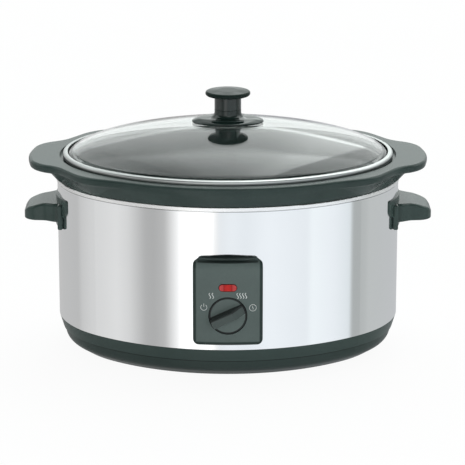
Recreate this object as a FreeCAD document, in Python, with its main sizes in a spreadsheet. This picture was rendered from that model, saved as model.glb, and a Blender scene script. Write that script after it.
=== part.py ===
import FreeCAD, Part
import math
import os

import Sketcher

# Oval slow cooker in millimetres. +Z is up and the control panel faces -Y.
# The origin is on the floor, under the middle of the whole object.

doc = FreeCAD.newDocument("slow_cooker")
size = doc.addObject("Spreadsheet::Sheet", "size")

DRIVING = {
    # Oval plan of the steel shell, a four-centre oval
    "oval_length": 360.0,
    "oval_width": 290.0,
    "end_radius": 124.5,
    # Base tray and feet
    "foot_drop": 2.5,
    "foot_radius": 9.0,
    "foot_stem": 3.5,
    "foot_head": 4.8,
    "foot_x": 112.0,
    "foot_y": 50.0,
    "lower_band": 19.8,
    "upper_band": 13.2,
    "tray_wall": 2.6,
    "tray_tuck": 21.7,
    "tray_belly": 9.0,
    "step_inset": 5.5,
    "band_inset": 4.0,
    "floor_margin": 12.0,
    "lip_height": 8.0,
    "lip_wall": 2.0,
    "lip_fit": 0.3,
    "boss_x": 84.0,
    "boss_y": 58.0,
    "boss_radius": 7.0,
    "boss_height": 15.0,
    "vent_length": 46.0,
    "vent_width": 4.0,
    "vent_pitch": 10.0,
    # Steel shell and heating well
    "shell_height": 148.7,
    "sheet": 0.8,
    "well_gap": 12.0,
    "well_depth": 133.0,
    "well_corner": 22.0,
    "bead_height": 3.7,
    "bead_round": 1.6,
    # Pillars, heat shield, heater and the small electrics
    "pillar_radius": 6.0,
    "pillar_neck": 4.0,
    "pillar_foot": 14.0,
    "screw_shank": 2.0,
    "screw_head": 4.0,
    "screw_head_height": 2.4,
    "shield_inset": 34.0,
    "heater_wall": 1.5,
    "heater_width": 50.0,
    "heater_base": 12.0,
    "heater_split": 14.0,
    "tab_reach": 7.0,
    "tab_wall": 1.5,
    "thermostat_radius": 12.0,
    "thermostat_height": 9.0,
    "thermostat_x": 36.0,
    "fuse_radius": 2.2,
    "fuse_length": 16.0,
    "fuse_x": -34.0,
    "clip_wall": 0.8,
    "clip_width": 9.0,
    "block_length": 44.0,
    "block_width": 20.0,
    "block_height": 15.0,
    "block_y": 70.0,
    # Crock
    "crock_gap": 3.0,
    "crock_wall": 7.0,
    "crock_taper": 9.4,
    "crock_clear": 3.2,
    "crock_floor": 10.0,
    "crock_corner": 24.0,
    "crock_throat": 16.0,
    "rim_height": 21.5,
    "rim_flare": 8.0,
    "rim_round": 3.4,
    "recess_depth": 3.0,
    "recess_inset": 2.6,
    "ear_reach": 29.7,
    "ear_thickness": 8.6,
    "ear_half": 47.0,
    "ear_slant": 7.2,
    "ear_corner": 38.0,
    "waist_inset": 3.0,
    "waist_half": 62.0,
    "spread_inset": 30.0,
    "spread_half": 107.0,
    "ear_root_inset": 80.0,
    "ear_root_half": 127.5,
    "gusset_slope": 42.0,
    "gusset_inset": 17.0,
    "seat_gap": 0.3,
    # Lid
    "lid_gap": 3.6,
    "lid_band_height": 6.5,
    "lid_band_width": 5.0,
    "lid_band_sheet": 0.6,
    "lid_band_round": 2.4,
    "glass_wall": 4.0,
    "dome_height": 36.9,
    "dome_inset": 12.4,
    "dome_slope": 40.0,
    "crown_drop": 31.9,
    "glass_hole": 4.0,
    # Lid knob
    "skirt_radius": 37.8,
    "skirt_depth": 25.2,
    "skirt_edge": 1.9,
    "skirt_lift": 0.8,
    "neck_radius": 14.05,
    "seam_height": 13.0,
    "cap_radius": 23.6,
    "cap_height": 33.3,
    "cap_edge": 6.2,
    "gasket_radius": 17.0,
    "gasket_wall": 2.0,
    "washer_radius": 16.0,
    "washer_wall": 1.2,
    "seal_radius": 14.0,
    "seal_wall": 1.6,
    "knob_bolt": 2.5,
    "knob_bolt_head": 4.6,
    "knob_bolt_height": 3.0,
    "insert_radius": 4.0,
    "insert_length": 14.0,
    # Handles
    "handle_top": 168.5,
    "handle_drop": 34.0,
    "wing_half": 56.0,
    "leg_half": 43.0,
    "leg_height": 24.5,
    "wing_wall": 2.4,
    "flange_wall": 1.5,
    "wing_side": 14.0,
    "wing_taper": 9.0,
    "wing_dip": 3.0,
    "grip_reach": 34.7,
    "grip_half": 26.5,
    "grip_root_half": 33.0,
    "grip_top_drop": 7.0,
    "grip_height": 21.5,
    "grip_fall": 8.5,
    "grip_wall": 3.5,
    "grip_round": 3.5,
    "grip_foot_round": 1.2,
    "grip_tip_radius": 15.0,
    "handle_screw_y": 18.0,
    "handle_screw_drop": 20.0,
    "backplate_wall": 1.5,
    "backplate_half": 32.0,
    "backplate_height": 22.0,
    # Control panel, dial, switch and pilot lamp
    "panel_half": 35.3,
    "panel_base": 45.0,
    "panel_height": 88.2,
    "panel_arch": 2.0,
    "panel_depth": 16.5,
    "panel_corner": 6.0,
    "panel_lean": 4.0,
    "panel_edge": 4.5,
    "panel_wall": 2.5,
    "panel_screw_x": 27.0,
    "panel_screw_inset": 13.0,
    "dial_height": 76.9,
    "dial_radius": 19.0,
    "dial_gap": 0.6,
    "dial_disc": 4.5,
    "dial_bar": 10.5,
    "dial_bar_half": 5.4,
    "dial_rest": 25.0,
    "dial_well": 8.5,
    "spindle_radius": 3.0,
    "run_fit": 0.06,
    "bush_radius": 4.5,
    "nut_radius": 7.0,
    "nut_wall": 2.0,
    "switch_half": 14.0,
    "switch_depth": 16.0,
    "window_half": 20.0,
    "lens_half": 9.3,
    "lens_radius": 3.95,
    "lens_rise": 29.5,
    "lens_proud": 0.8,
    "lens_depth": 10.0,
    "lens_flange": 1.4,
    "lamp_radius": 2.2,
    "lamp_length": 13.0,
    # Cord gland at the back
    "gland_height": 62.0,
    "gland_bore": 3.9,
    "gland_neck": 8.0,
    "gland_flange": 11.5,
    "gland_flange_wall": 3.0,
    "gland_neck_length": 9.0,
    "gland_nut_wall": 4.0,
    # Clearances
    "fit": 0.1,
    "screw_fit": 0.2,
}

DERIVED = {
    "end_centre": "oval_length / 2 - end_radius",
    "side_centre": "(end_centre^2 - (oval_width / 2 - end_radius)^2) / (oval_width - 2 * end_radius)",
    "side_radius": "oval_width / 2 + side_centre",
    "half": "oval_length / 2",
    "half_width": "oval_width / 2",
    "tray_step": "foot_drop + lower_band",
    "tray_top": "tray_step + upper_band",
    "tray_floor": "foot_drop + tray_wall",
    "shell_top": "tray_top + shell_height",
    "rim_seat": "shell_top + sheet",
    "well_outside": "sheet + well_gap",
    "well_inside": "well_outside + sheet",
    "well_base": "rim_seat - well_depth",
    "pillar_base": "tray_floor + boss_height",
    "crock_outside": "well_inside + crock_gap",
    "crock_base": "well_base + sheet + crock_clear",
    "crock_seat": "rim_seat + seat_gap",
    "rim_top": "crock_seat + rim_height",
    "ledge": "rim_top - recess_depth",
    "lid_edge": "recess_inset + lid_gap",
    "band_base": "ledge + seat_gap",
    "band_top": "band_base + lid_band_height",
    "glass_base": "band_base + lid_band_sheet",
    "glass_edge": "lid_edge + lid_band_sheet + fit",
    "dome_top": "glass_base + dome_height",
    "dome_under": "dome_top - glass_wall",
    "crown_length_radius": "((half - dome_inset)^2 + crown_drop^2) / (2 * crown_drop)",
    "crown_width_radius": "((half_width - dome_inset)^2 + crown_drop^2) / (2 * crown_drop)",
    "skirt_base": "dome_top - skirt_lift",
    "seam": "dome_top + seam_height",
    "knob_top": "dome_top + cap_height",
    "panel_face": "half_width + panel_depth",
    "panel_inner": "panel_face - panel_wall",
    "dial_floor": "panel_face - dial_well",
    "cup_back": "dial_floor - panel_wall",
    "dial_face": "panel_face - 0.4",
    "grip_top": "handle_top - grip_top_drop",
    "handle_screw_z": "handle_top - handle_screw_drop",
    "oval_y": "(dial_face + dial_bar - half_width - rim_flare) / 2",
}

row = 0
for alias, number in DRIVING.items():
    row = row + 1
    size.set(f"A{row}", alias)
    size.set(f"B{row}", str(number))
    size.setAlias(f"B{row}", alias)
for alias, formula in DERIVED.items():
    row = row + 1
    size.set(f"A{row}", alias)
    size.set(f"B{row}", f"={formula}")
    size.setAlias(f"B{row}", alias)
doc.recompute()

UP = FreeCAD.Vector(0, 0, 1)
END = "size.half"
nodes = []


def value(expression):
    """Number that an expression of sheet cells comes to."""
    return float(size.evalExpression(expression))


def point(x, y):
    return FreeCAD.Vector(value(x), value(y), 0)


# Bodies, sketches and features

def new_body(label):
    """Body that stands at the oval's centre."""
    body = doc.addObject("PartDesign::Body", label)
    body.Label = label
    body.setExpression("Placement.Base.y", "size.oval_y")
    return body


def keep(label, shape_object):
    """Marks an object as one of the cooker's sub-parts."""
    shape_object.Label = label
    nodes.append((label, shape_object))


def sketch_on(body, plane, lift="0"):
    """Empty sketch on one of the body's own planes, lifted along its normal."""
    sketch = body.newObject("Sketcher::SketchObject", f"{body.Name}_sketch")
    support = next(f for f in body.Origin.OriginFeatures if f.Role == f"{plane}_Plane")
    sketch.AttachmentSupport = [(support, "")]
    sketch.MapMode = "FlatFace"
    sketch.setExpression("AttachmentOffset.Base.z", lift)
    return sketch


def bind(sketch, kind, *target, to):
    """Adds a dimension whose value follows an expression."""
    index = sketch.addConstraint(Sketcher.Constraint(kind, *target, value(to)))
    sketch.setExpression(f"Constraints[{index}]", to)


def outline(sketch, corners):
    """Closed outline of straight runs; a corner's third entry is its rounding radius."""
    first = sketch.GeometryCount
    count = len(corners)
    at = [point(corner[0], corner[1]) for corner in corners]
    for i in range(count):
        sketch.addGeometry(Part.LineSegment(at[i], at[(i + 1) % count]), False)
    for i in range(count):
        sketch.addConstraint(Sketcher.Constraint("Coincident", first + i, 2, first + (i + 1) % count, 1))
    for i, corner in enumerate(corners):
        bind(sketch, "DistanceX", -1, 1, first + i, 1, to=corner[0])
        bind(sketch, "DistanceY", -1, 1, first + i, 1, to=corner[1])
    for i, corner in enumerate(corners):
        if len(corner) == 3:
            before = first + (i - 1) % count
            sketch.fillet(before, first + i, at[i - 1], at[(i + 1) % count], value(corner[2]), True, True)
            arcs = [k for k, g in enumerate(sketch.Geometry) if isinstance(g, Part.ArcOfCircle)]
            bind(sketch, "Radius", arcs[-1], to=corner[2])


def box_outline(sketch, x0, y0, x1, y1, rounding=None):
    """Rectangle between two corners."""
    corners = [(x0, y0), (x1, y0), (x1, y1), (x0, y1)]
    if rounding:
        corners = [corner + (rounding,) for corner in corners]
    outline(sketch, corners)


def circle(sketch, x, y, radius):
    index = sketch.addGeometry(Part.Circle(point(x, y), UP, value(radius)), False)
    bind(sketch, "DistanceX", -1, 1, index, 3, to=x)
    bind(sketch, "DistanceY", -1, 1, index, 3, to=y)
    bind(sketch, "Radius", index, to=radius)


def oval(sketch, offset):
    """The shell's four-centre oval, moved outwards by an offset."""
    end, side = value("size.end_centre"), value("size.side_centre")
    turn = math.atan2(side, end)
    end_radius = f"size.end_radius + {offset}"
    side_radius = f"size.side_radius + {offset}"
    spans = [
        (end, 0, end_radius, -turn, turn),
        (0, -side, side_radius, turn, math.pi - turn),
        (-end, 0, end_radius, math.pi - turn, math.pi + turn),
        (0, side, side_radius, math.pi + turn, 2 * math.pi - turn),
    ]
    for x, y, radius, start, stop in spans:
        ring = Part.Circle(FreeCAD.Vector(x, y, 0), UP, value(radius))
        sketch.addGeometry(Part.ArcOfCircle(ring, start, stop), False)
    for i in range(4):
        sketch.addConstraint(Sketcher.Constraint("Tangent", i, 2, (i + 1) % 4, 1))
    sketch.addConstraint(Sketcher.Constraint("PointOnObject", 0, 3, -1))
    sketch.addConstraint(Sketcher.Constraint("PointOnObject", 1, 3, -2))
    sketch.addConstraint(Sketcher.Constraint("PointOnObject", 3, 3, -2))
    sketch.addConstraint(Sketcher.Constraint("Equal", 0, 2))
    bind(sketch, "Radius", 0, to=end_radius)
    bind(sketch, "DistanceX", -1, 1, 0, 3, to="size.end_centre")
    bind(sketch, "Radius", 1, to=side_radius)


def pad(body, sketch, length, reverse=False, both=False, slope=None):
    feature = body.newObject("PartDesign::Pad", f"{body.Name}_pad")
    feature.Profile = sketch
    feature.setExpression("Length", length)
    feature.Reversed = reverse
    feature.Midplane = both
    if slope:
        feature.setExpression("TaperAngle", slope)
    doc.recompute()
    return feature


def pocket(body, sketch, length=None, reverse=False, both=False):
    """Cut along the sketch's normal; with no length it goes right through."""
    before = body.Shape.Volume
    feature = body.newObject("PartDesign::Pocket", f"{body.Name}_pocket")
    feature.Profile = sketch
    if length:
        feature.setExpression("Length", length)
    else:
        feature.Type = "ThroughAll"
    feature.Reversed = reverse
    feature.Midplane = both
    doc.recompute()
    if not body.Shape.Volume < before - 0.01:
        raise RuntimeError(f"{body.Label}: {feature.Name} cuts nothing")
    return feature


def revolve(body, sketch, axis="V_Axis", turn="360", both=False, kind="Revolution"):
    feature = body.newObject(f"PartDesign::{kind}", f"{body.Name}_{kind.lower()}")
    feature.Profile = sketch
    feature.ReferenceAxis = (sketch, [axis])
    feature.setExpression("Angle", turn)
    feature.Midplane = both
    doc.recompute()
    return feature


def sweep(body, profile, path):
    """Carries a profile round the oval path."""
    feature = body.newObject("PartDesign::AdditivePipe", f"{body.Name}_sweep")
    feature.Profile = profile
    feature.Spine = (path, ["Edge1", "Edge2", "Edge3", "Edge4"])
    feature.Mode = "Frenet"
    doc.recompute()
    return feature


def oval_ring(label, corners):
    """Body swept round the oval from a section drawn at its right-hand end."""
    body = new_body(label)
    path = sketch_on(body, "XY")
    oval(path, "0")
    profile = sketch_on(body, "XZ")
    outline(profile, corners)
    doc.recompute()
    sweep(body, profile, path)
    return body


def oval_pad(body, offset, base, height, slope=None):
    plan = sketch_on(body, "XY", base)
    oval(plan, offset)
    return pad(body, plan, height, slope=slope)


def fillet(body, radius, picked):
    """Rounds the edges of the last feature that a test picks."""
    base = body.Tip
    names = [f"Edge{i + 1}" for i, edge in enumerate(base.Shape.Edges) if picked(edge)]
    feature = body.newObject("PartDesign::Fillet", f"{body.Name}_fillet")
    feature.Base = (base, names)
    feature.setExpression("Radius", radius)
    doc.recompute()
    return feature


def at_height(edge, height):
    box = edge.BoundBox
    level = value(height)
    return abs(box.ZMin - level) < 0.01 and abs(box.ZMax - level) < 0.01


def turned_group(label, x, y, corners):
    """Four equal turned pieces, one in each quarter of the oval."""
    copies = []
    for i, (side, end) in enumerate(((1, 1), (1, -1), (-1, 1), (-1, -1))):
        body = doc.addObject("PartDesign::Body", f"{label}_{i + 1}")
        body.setExpression("Placement.Base.x", f"{side} * {x}")
        body.setExpression("Placement.Base.y", f"size.oval_y + {end} * {y}")
        section = sketch_on(body, "XZ")
        outline(section, corners)
        revolve(body, section)
        copies.append(body)
    group = doc.addObject("Part::Compound", label)
    group.Links = copies
    keep(label, group)


# Base tray: moulded skirt with a step, floor, screw bosses, foot holes and vents

def base_tray():
    seat = "(size.sheet + size.lip_fit)"
    belly = "size.foot_drop + size.tray_belly"
    body = oval_ring("base_tray", [
        (f"{END} - size.tray_tuck - size.floor_margin", "size.foot_drop"),
        (f"{END} - size.tray_tuck", "size.foot_drop", "3"),
        (f"{END} - size.step_inset - 2", belly, "12"),
        (f"{END} - size.step_inset", "size.tray_step"),
        (f"{END} - size.band_inset", "size.tray_step"),
        (END, "size.tray_top", "0.8"),
        (f"{END} - {seat}", "size.tray_top"),
        (f"{END} - {seat}", "size.tray_top + size.lip_height"),
        (f"{END} - {seat} - size.lip_wall", "size.tray_top + size.lip_height"),
        (f"{END} - {seat} - size.lip_wall", "size.tray_top"),
        (f"{END} - size.step_inset - size.tray_wall", "size.tray_step"),
        (f"{END} - size.step_inset - 2 - size.tray_wall", f"{belly} + 1", "8"),
        (f"{END} - size.tray_tuck - 1", "size.tray_floor", "2"),
        (f"{END} - size.tray_tuck - size.floor_margin", "size.tray_floor"),
    ])
    oval_pad(body, "(-size.tray_tuck - size.floor_margin)", "size.foot_drop", "size.tray_wall")
    bosses = sketch_on(body, "XY", "size.tray_floor")
    holes = sketch_on(body, "XY", "size.foot_drop")
    bore = "size.screw_shank + size.screw_fit"
    for side in (1, -1):
        for end in (1, -1):
            circle(bosses, f"{side} * size.boss_x", f"{end} * size.boss_y", "size.boss_radius")
            circle(holes, f"{side} * size.boss_x", f"{end} * size.boss_y", bore)
            circle(holes, f"{side} * size.foot_x", f"{end} * size.foot_y", "size.foot_stem + size.fit")
    pad(body, bosses, "size.boss_height")
    pocket(body, holes, reverse=True)
    vents = sketch_on(body, "XY", "size.foot_drop")
    for i in range(-3, 4):
        box_outline(
            vents,
            f"{i} * size.vent_pitch - size.vent_width / 2", "-size.vent_length / 2",
            f"{i} * size.vent_pitch + size.vent_width / 2", "size.vent_length / 2",
            "size.vent_width * 0.45",
        )
    pocket(body, vents, "size.tray_wall", reverse=True)
    keep("base_tray", body)


def rubber_feet():
    turned_group("rubber_feet", "size.foot_x", "size.foot_y", [
        ("0", "0"),
        ("size.foot_radius", "0", "1"),
        ("size.foot_radius", "size.foot_drop"),
        ("size.foot_stem", "size.foot_drop"),
        ("size.foot_stem", "size.tray_floor + size.fit"),
        ("size.foot_head", "size.tray_floor + size.fit"),
        ("size.foot_stem", "size.tray_floor + 3"),
        ("0", "size.tray_floor + 3"),
    ])


def base_screws():
    tip = "size.pillar_base + 10"
    turned_group("base_screws", "size.boss_x", "size.boss_y", [
        ("0", "size.foot_drop - size.screw_head_height + 0.4"),
        ("size.screw_head", "size.foot_drop - size.screw_head_height + 0.4", "0.8"),
        ("size.screw_head", "size.foot_drop"),
        ("size.screw_shank", "size.foot_drop"),
        ("size.screw_shank", tip),
        ("0", tip),
    ])


def well_pillars():
    bore = "size.screw_shank + size.fit"
    shoulder = "size.pillar_base + size.pillar_foot"
    turned_group("well_pillars", "size.boss_x", "size.boss_y", [
        (bore, "size.pillar_base"),
        ("size.pillar_radius", "size.pillar_base"),
        ("size.pillar_radius", shoulder),
        ("size.pillar_neck", shoulder),
        ("size.pillar_neck", "size.well_base"),
        (bore, "size.well_base"),
    ])


def heat_shield():
    body = new_body("heat_shield")
    shoulder = "size.pillar_base + size.pillar_foot"
    oval_pad(body, "(-size.shield_inset)", shoulder, "size.sheet")
    holes = sketch_on(body, "XY", shoulder)
    for side in (1, -1):
        for end in (1, -1):
            circle(holes, f"{side} * size.boss_x", f"{end} * size.boss_y", "size.pillar_neck + size.fit")
    pocket(body, holes, reverse=True)
    keep("heat_shield", body)


# Steel shell: straight oval band with a window behind the panel and fixing holes

def side_depth(radius, x):
    """Y distance of a side arc of the oval from its centre, at a place along it."""
    return f"(sqrt(({radius})^2 - ({x})^2) - size.side_centre)"


def outer_shell():
    body = oval_ring("outer_shell", [
        (f"{END} - size.sheet", "size.tray_top"),
        (END, "size.tray_top"),
        (END, "size.shell_top"),
        (f"{END} - size.sheet", "size.shell_top"),
    ])
    front = sketch_on(body, "XZ")
    box_outline(
        front,
        "-size.window_half", "size.dial_height - size.window_half",
        "size.window_half", "size.dial_height + size.lens_rise + 8", "4",
    )
    for side in (1, -1):
        for level in panel_screw_levels():
            circle(front, f"{side} * size.panel_screw_x", level, "size.screw_shank + size.screw_fit")
    pocket(body, front, "size.half_width + 1", reverse=True)
    back = sketch_on(body, "XZ")
    circle(back, "0", "size.gland_height", "size.gland_neck + size.screw_fit")
    pocket(body, back, "size.half_width + 1")
    ends = sketch_on(body, "YZ")
    bore = "size.screw_shank + size.screw_fit"
    for side in (1, -1):
        circle(ends, f"{side} * size.handle_screw_y", "size.handle_screw_z", bore)
    pocket(body, ends, both=True)
    keep("outer_shell", body)


# Heating well: pressed pan that hangs in the shell by its rolled bead

def heating_well():
    floor_edge = f"{END} - size.well_inside - 2 * size.well_corner"
    body = oval_ring("heating_well", [
        (floor_edge, "size.well_base"),
        (f"{END} - size.well_outside", "size.well_base", "size.well_corner + size.sheet"),
        (f"{END} - size.well_outside", "size.shell_top", "size.bead_round"),
        (f"{END} + size.fit", "size.shell_top"),
        (f"{END} + size.fit", "size.rim_seat - size.bead_height"),
        (f"{END} + size.fit + size.sheet", "size.rim_seat - size.bead_height"),
        (f"{END} + size.fit + size.sheet", "size.rim_seat", "size.sheet"),
        (f"{END} - size.well_inside", "size.rim_seat", "size.bead_round + size.sheet"),
        (f"{END} - size.well_inside", "size.well_base + size.sheet", "size.well_corner"),
        (floor_edge, "size.well_base + size.sheet"),
    ])
    oval_pad(body, "(-size.well_inside - 2 * size.well_corner)", "size.well_base", "size.sheet")
    keep("heating_well", body)


# Heater: mica band clamped round the well, with two bolts through its end tabs

def heater_band():
    inner = f"{END} - size.well_outside + size.fit"
    base = "size.well_base + size.well_corner + size.heater_base"
    body = oval_ring("heater_band", [
        (inner, base),
        (f"{inner} + size.heater_wall", base),
        (f"{inner} + size.heater_wall", f"{base} + size.heater_width"),
        (inner, f"{base} + size.heater_width"),
    ])
    split = sketch_on(body, "XZ")
    box_outline(
        split,
        "-size.heater_split / 2", f"{base} - 1",
        "size.heater_split / 2", f"{base} + size.heater_width + 1",
    )
    pocket(body, split, "size.half_width")
    tab_root = "size.half_width - size.well_outside + size.fit"
    tabs = sketch_on(body, "XY", base)
    for side in (1, -1):
        box_outline(
            tabs,
            f"{side} * size.heater_split / 2", f"{tab_root} + 0.2",
            f"{side} * (size.heater_split / 2 + size.tab_wall)",
            f"{tab_root} + size.heater_wall + size.tab_reach",
        )
    pad(body, tabs, "size.heater_width")
    holes = sketch_on(body, "YZ")
    for share in ("0.25", "0.75"):
        circle(holes, f"{tab_root} + size.heater_wall + size.tab_reach / 2",
               f"{base} + {share} * size.heater_width", "size.screw_shank + size.fit")
    pocket(body, holes, both=True)
    keep("heater_band", body)


def heater_bolts():
    base = "size.well_base + size.well_corner + size.heater_base"
    axis_y = "size.half_width - size.well_outside + size.fit + size.heater_wall + size.tab_reach / 2"
    outside = "size.heater_split / 2 + size.tab_wall"
    bolts = []
    for i, share in enumerate(("0.25", "0.75")):
        body = doc.addObject("PartDesign::Body", f"heater_bolt_{i + 1}")
        body.setExpression("Placement.Base.y", f"size.oval_y + {axis_y}")
        body.setExpression("Placement.Base.z", f"{base} + {share} * size.heater_width")
        section = sketch_on(body, "XZ")
        outline(section, [
            (f"-({outside} + size.screw_head_height)", "0"),
            (f"-({outside} + size.screw_head_height)", "size.tab_reach / 2 - 0.5"),
            (f"-({outside})", "size.tab_reach / 2 - 0.5"),
            (f"-({outside})", "size.screw_shank"),
            (outside, "size.screw_shank"),
            (outside, "size.tab_reach / 2 - 0.5"),
            (f"{outside} + size.screw_head_height", "size.tab_reach / 2 - 0.5"),
            (f"{outside} + size.screw_head_height", "0"),
        ])
        revolve(body, section, "H_Axis")
        bolts.append(body)
    group = doc.addObject("Part::Compound", "heater_bolts")
    group.Links = bolts
    keep("heater_bolts", group)


# Thermostat, fuse and terminal block

def thermostat():
    body = new_body("thermostat")
    body.setExpression("Placement.Base.x", "size.thermostat_x")
    section = sketch_on(body, "XZ")
    base = "size.well_base - size.thermostat_height"
    outline(section, [
        ("0", base),
        ("size.thermostat_radius * 0.6", base),
        ("size.thermostat_radius * 0.6", f"{base} + 3"),
        ("size.thermostat_radius", f"{base} + 3", "1"),
        ("size.thermostat_radius", "size.well_base"),
        ("0", "size.well_base"),
    ])
    revolve(body, section)
    keep("thermostat", body)


def thermal_fuse():
    level = "size.well_base - size.fuse_radius - size.fit"
    body = new_body("thermal_fuse")
    section = sketch_on(body, "XZ")
    start, stop = "size.fuse_x - size.fuse_length / 2", "size.fuse_x + size.fuse_length / 2"
    axis = section.addGeometry(Part.LineSegment(point(start, level), point(stop, level)), True)
    bind(section, "DistanceY", -1, 1, axis, 1, to=level)
    outline(section, [
        (start, level),
        (start, f"{level} + size.fuse_radius * 0.6"),
        (f"{start} + 3", f"{level} + size.fuse_radius"),
        (f"{stop} - 1", f"{level} + size.fuse_radius"),
        (stop, f"{level} + size.fuse_radius * 0.6"),
        (stop, level),
    ])
    revolve(body, section, "Axis0")
    keep("thermal_fuse", body)
    clip = new_body("fuse_clip")
    strap = sketch_on(clip, "YZ", "size.fuse_x - size.clip_width / 2")
    inner = "size.fuse_radius + size.fit"
    outer = "size.fuse_radius + size.fit + size.clip_wall"
    drop = "size.well_base - 2 * size.fuse_radius - 2 * size.fit"
    outline(strap, [
        (f"-({outer} + 8)", "size.well_base"),
        (f"-({outer} + 8)", "size.well_base - size.clip_wall"),
        (f"-({outer})", "size.well_base - size.clip_wall"),
        (f"-({outer})", f"{drop} - size.clip_wall", "1.2"),
        (outer, f"{drop} - size.clip_wall", "1.2"),
        (outer, "size.well_base - size.clip_wall"),
        (f"{outer} + 8", "size.well_base - size.clip_wall"),
        (f"{outer} + 8", "size.well_base"),
        (inner, "size.well_base"),
        (inner, drop, "0.4"),
        (f"-({inner})", drop, "0.4"),
        (f"-({inner})", "size.well_base"),
    ])
    pad(clip, strap, "size.clip_width")
    keep("fuse_clip", clip)


def terminal_block():
    body = new_body("terminal_block")
    plan = sketch_on(body, "XY", "size.tray_floor")
    near, far = "size.block_y - size.block_width / 2", "size.block_y + size.block_width / 2"
    box_outline(plan, "-size.block_length / 2", near, "size.block_length / 2", far, "1.5")
    pad(body, plan, "size.block_height")
    ports = sketch_on(body, "XZ")
    screws = sketch_on(body, "XY", "size.tray_floor + size.block_height")
    for i in (-1, 0, 1):
        circle(ports, f"{i} * size.block_length / 3", "size.tray_floor + 5", "2.5")
        circle(screws, f"{i} * size.block_length / 3", "size.block_y", "3")
    pocket(body, ports, both=True)
    pocket(body, screws, "5")
    keep("terminal_block", body)


# Crock: slip-cast pot with a flared collar, a rim plate with two ears and a lid ledge

def ear_plan(sketch, inset, ease):
    """Ear's outline, drawn in at the tip by an inset and along its long flanks by an ease."""
    tip = f"size.half + size.ear_reach + 1.4 - {inset}"
    flank = [
        (f"{tip} - size.ear_slant + 0.2 * {inset}", f"size.ear_half - 0.35 * {inset}", "size.ear_corner"),
        (f"size.half - size.waist_inset - {ease}", f"size.waist_half - 0.5 * {ease}", "40"),
        (f"size.half - size.spread_inset - {ease}", f"size.spread_half - {ease}", "60"),
        ("size.half - size.ear_root_inset", f"size.ear_root_half - {ease}"),
    ]
    mirrored = [(corner[0], f"-({corner[1]})") + corner[2:] for corner in reversed(flank)]
    outline(sketch, mirrored + [(tip, "0", "110")] + flank)


def ear(side):
    """Ear with rounded edges and a sloping web under it, trimmed to the lid's recess."""
    body = new_body("crock_right_ear" if side > 0 else "crock_left_ear")
    if side < 0:
        body.Placement.Rotation = FreeCAD.Rotation(UP, 180)
    base = "size.rim_top - size.ear_thickness"
    plate = sketch_on(body, "XY", base)
    ear_plan(plate, "0", "0")
    pad(body, plate, "size.ear_thickness")
    inside = value("size.half - size.ear_root_inset + 1")
    for level in ("size.rim_top", base):
        fillet(body, "size.rim_round", lambda edge: at_height(edge, level) and edge.CenterOfMass.x > inside)
    web_top = f"{base} + size.rim_round / 2"
    web = sketch_on(body, "XY", web_top)
    ear_plan(web, "size.gusset_inset", "1.2")
    pad(body, web, f"{web_top} - size.crock_seat", reverse=True, slope="-size.gusset_slope")
    mouth = sketch_on(body, "XY", "size.rim_top + 1")
    oval(mouth, "(-size.recess_inset)")
    pocket(body, mouth)
    return body


def crock():
    pot = new_body("crock_pot")
    path = sketch_on(pot, "XY")
    oval(path, "0")
    wall = sketch_on(pot, "XZ")
    outside = f"{END} - size.crock_outside"
    floor_edge = f"{outside} - size.crock_taper - 2 * size.crock_corner"
    outline(wall, [
        (floor_edge, "size.crock_base"),
        (f"{outside} - size.crock_taper", "size.crock_base", "size.crock_corner"),
        (outside, "size.crock_seat - 8"),
        (outside, "size.crock_seat"),
        (f"{END} + size.seat_gap", "size.crock_seat", "1.2"),
        (f"{END} + size.rim_flare - 0.4", "size.rim_top - 7", "12"),
        (f"{END} + size.rim_flare", "size.rim_top", "size.rim_round"),
        (f"{END} - size.recess_inset", "size.rim_top", "1"),
        (f"{END} - size.recess_inset", "size.ledge"),
        (f"{END} - size.crock_throat", "size.ledge", "4"),
        (f"{outside} - size.crock_wall", "size.crock_seat - 8", "16"),
        (f"{outside} - size.crock_taper - size.crock_wall", "size.crock_base + size.crock_floor",
         "size.crock_corner - 4"),
        (floor_edge, "size.crock_base + size.crock_floor"),
    ])
    doc.recompute()
    sweep(pot, wall, path)
    oval_pad(pot, "(-size.crock_outside - size.crock_taper - 2 * size.crock_corner)",
             "size.crock_base", "size.crock_floor")
    whole = doc.addObject("Part::MultiFuse", "crock")
    whole.Shapes = [pot, ear(1), ear(-1)]
    whole.Refine = True
    doc.recompute()
    keep("crock", whole)


# Lid: glass dome in a rolled steel band

def lid_rim():
    inner = f"{END} - size.lid_edge - size.lid_band_width"
    inside = f"{END} - size.lid_edge - size.lid_band_sheet"
    body = oval_ring("lid_rim", [
        (inner, "size.band_base"),
        (f"{END} - size.lid_edge", "size.band_base", "size.lid_band_round"),
        (f"{END} - size.lid_edge", "size.band_top", "size.lid_band_round"),
        (inner, "size.band_top"),
        (inner, "size.band_top - size.lid_band_sheet"),
        (inside, "size.band_top - size.lid_band_sheet", "size.lid_band_round - size.lid_band_sheet"),
        (inside, "size.band_base + size.lid_band_sheet", "size.lid_band_round - size.lid_band_sheet"),
        (inner, "size.band_base + size.lid_band_sheet"),
    ])
    keep("lid_rim", body)


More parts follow.
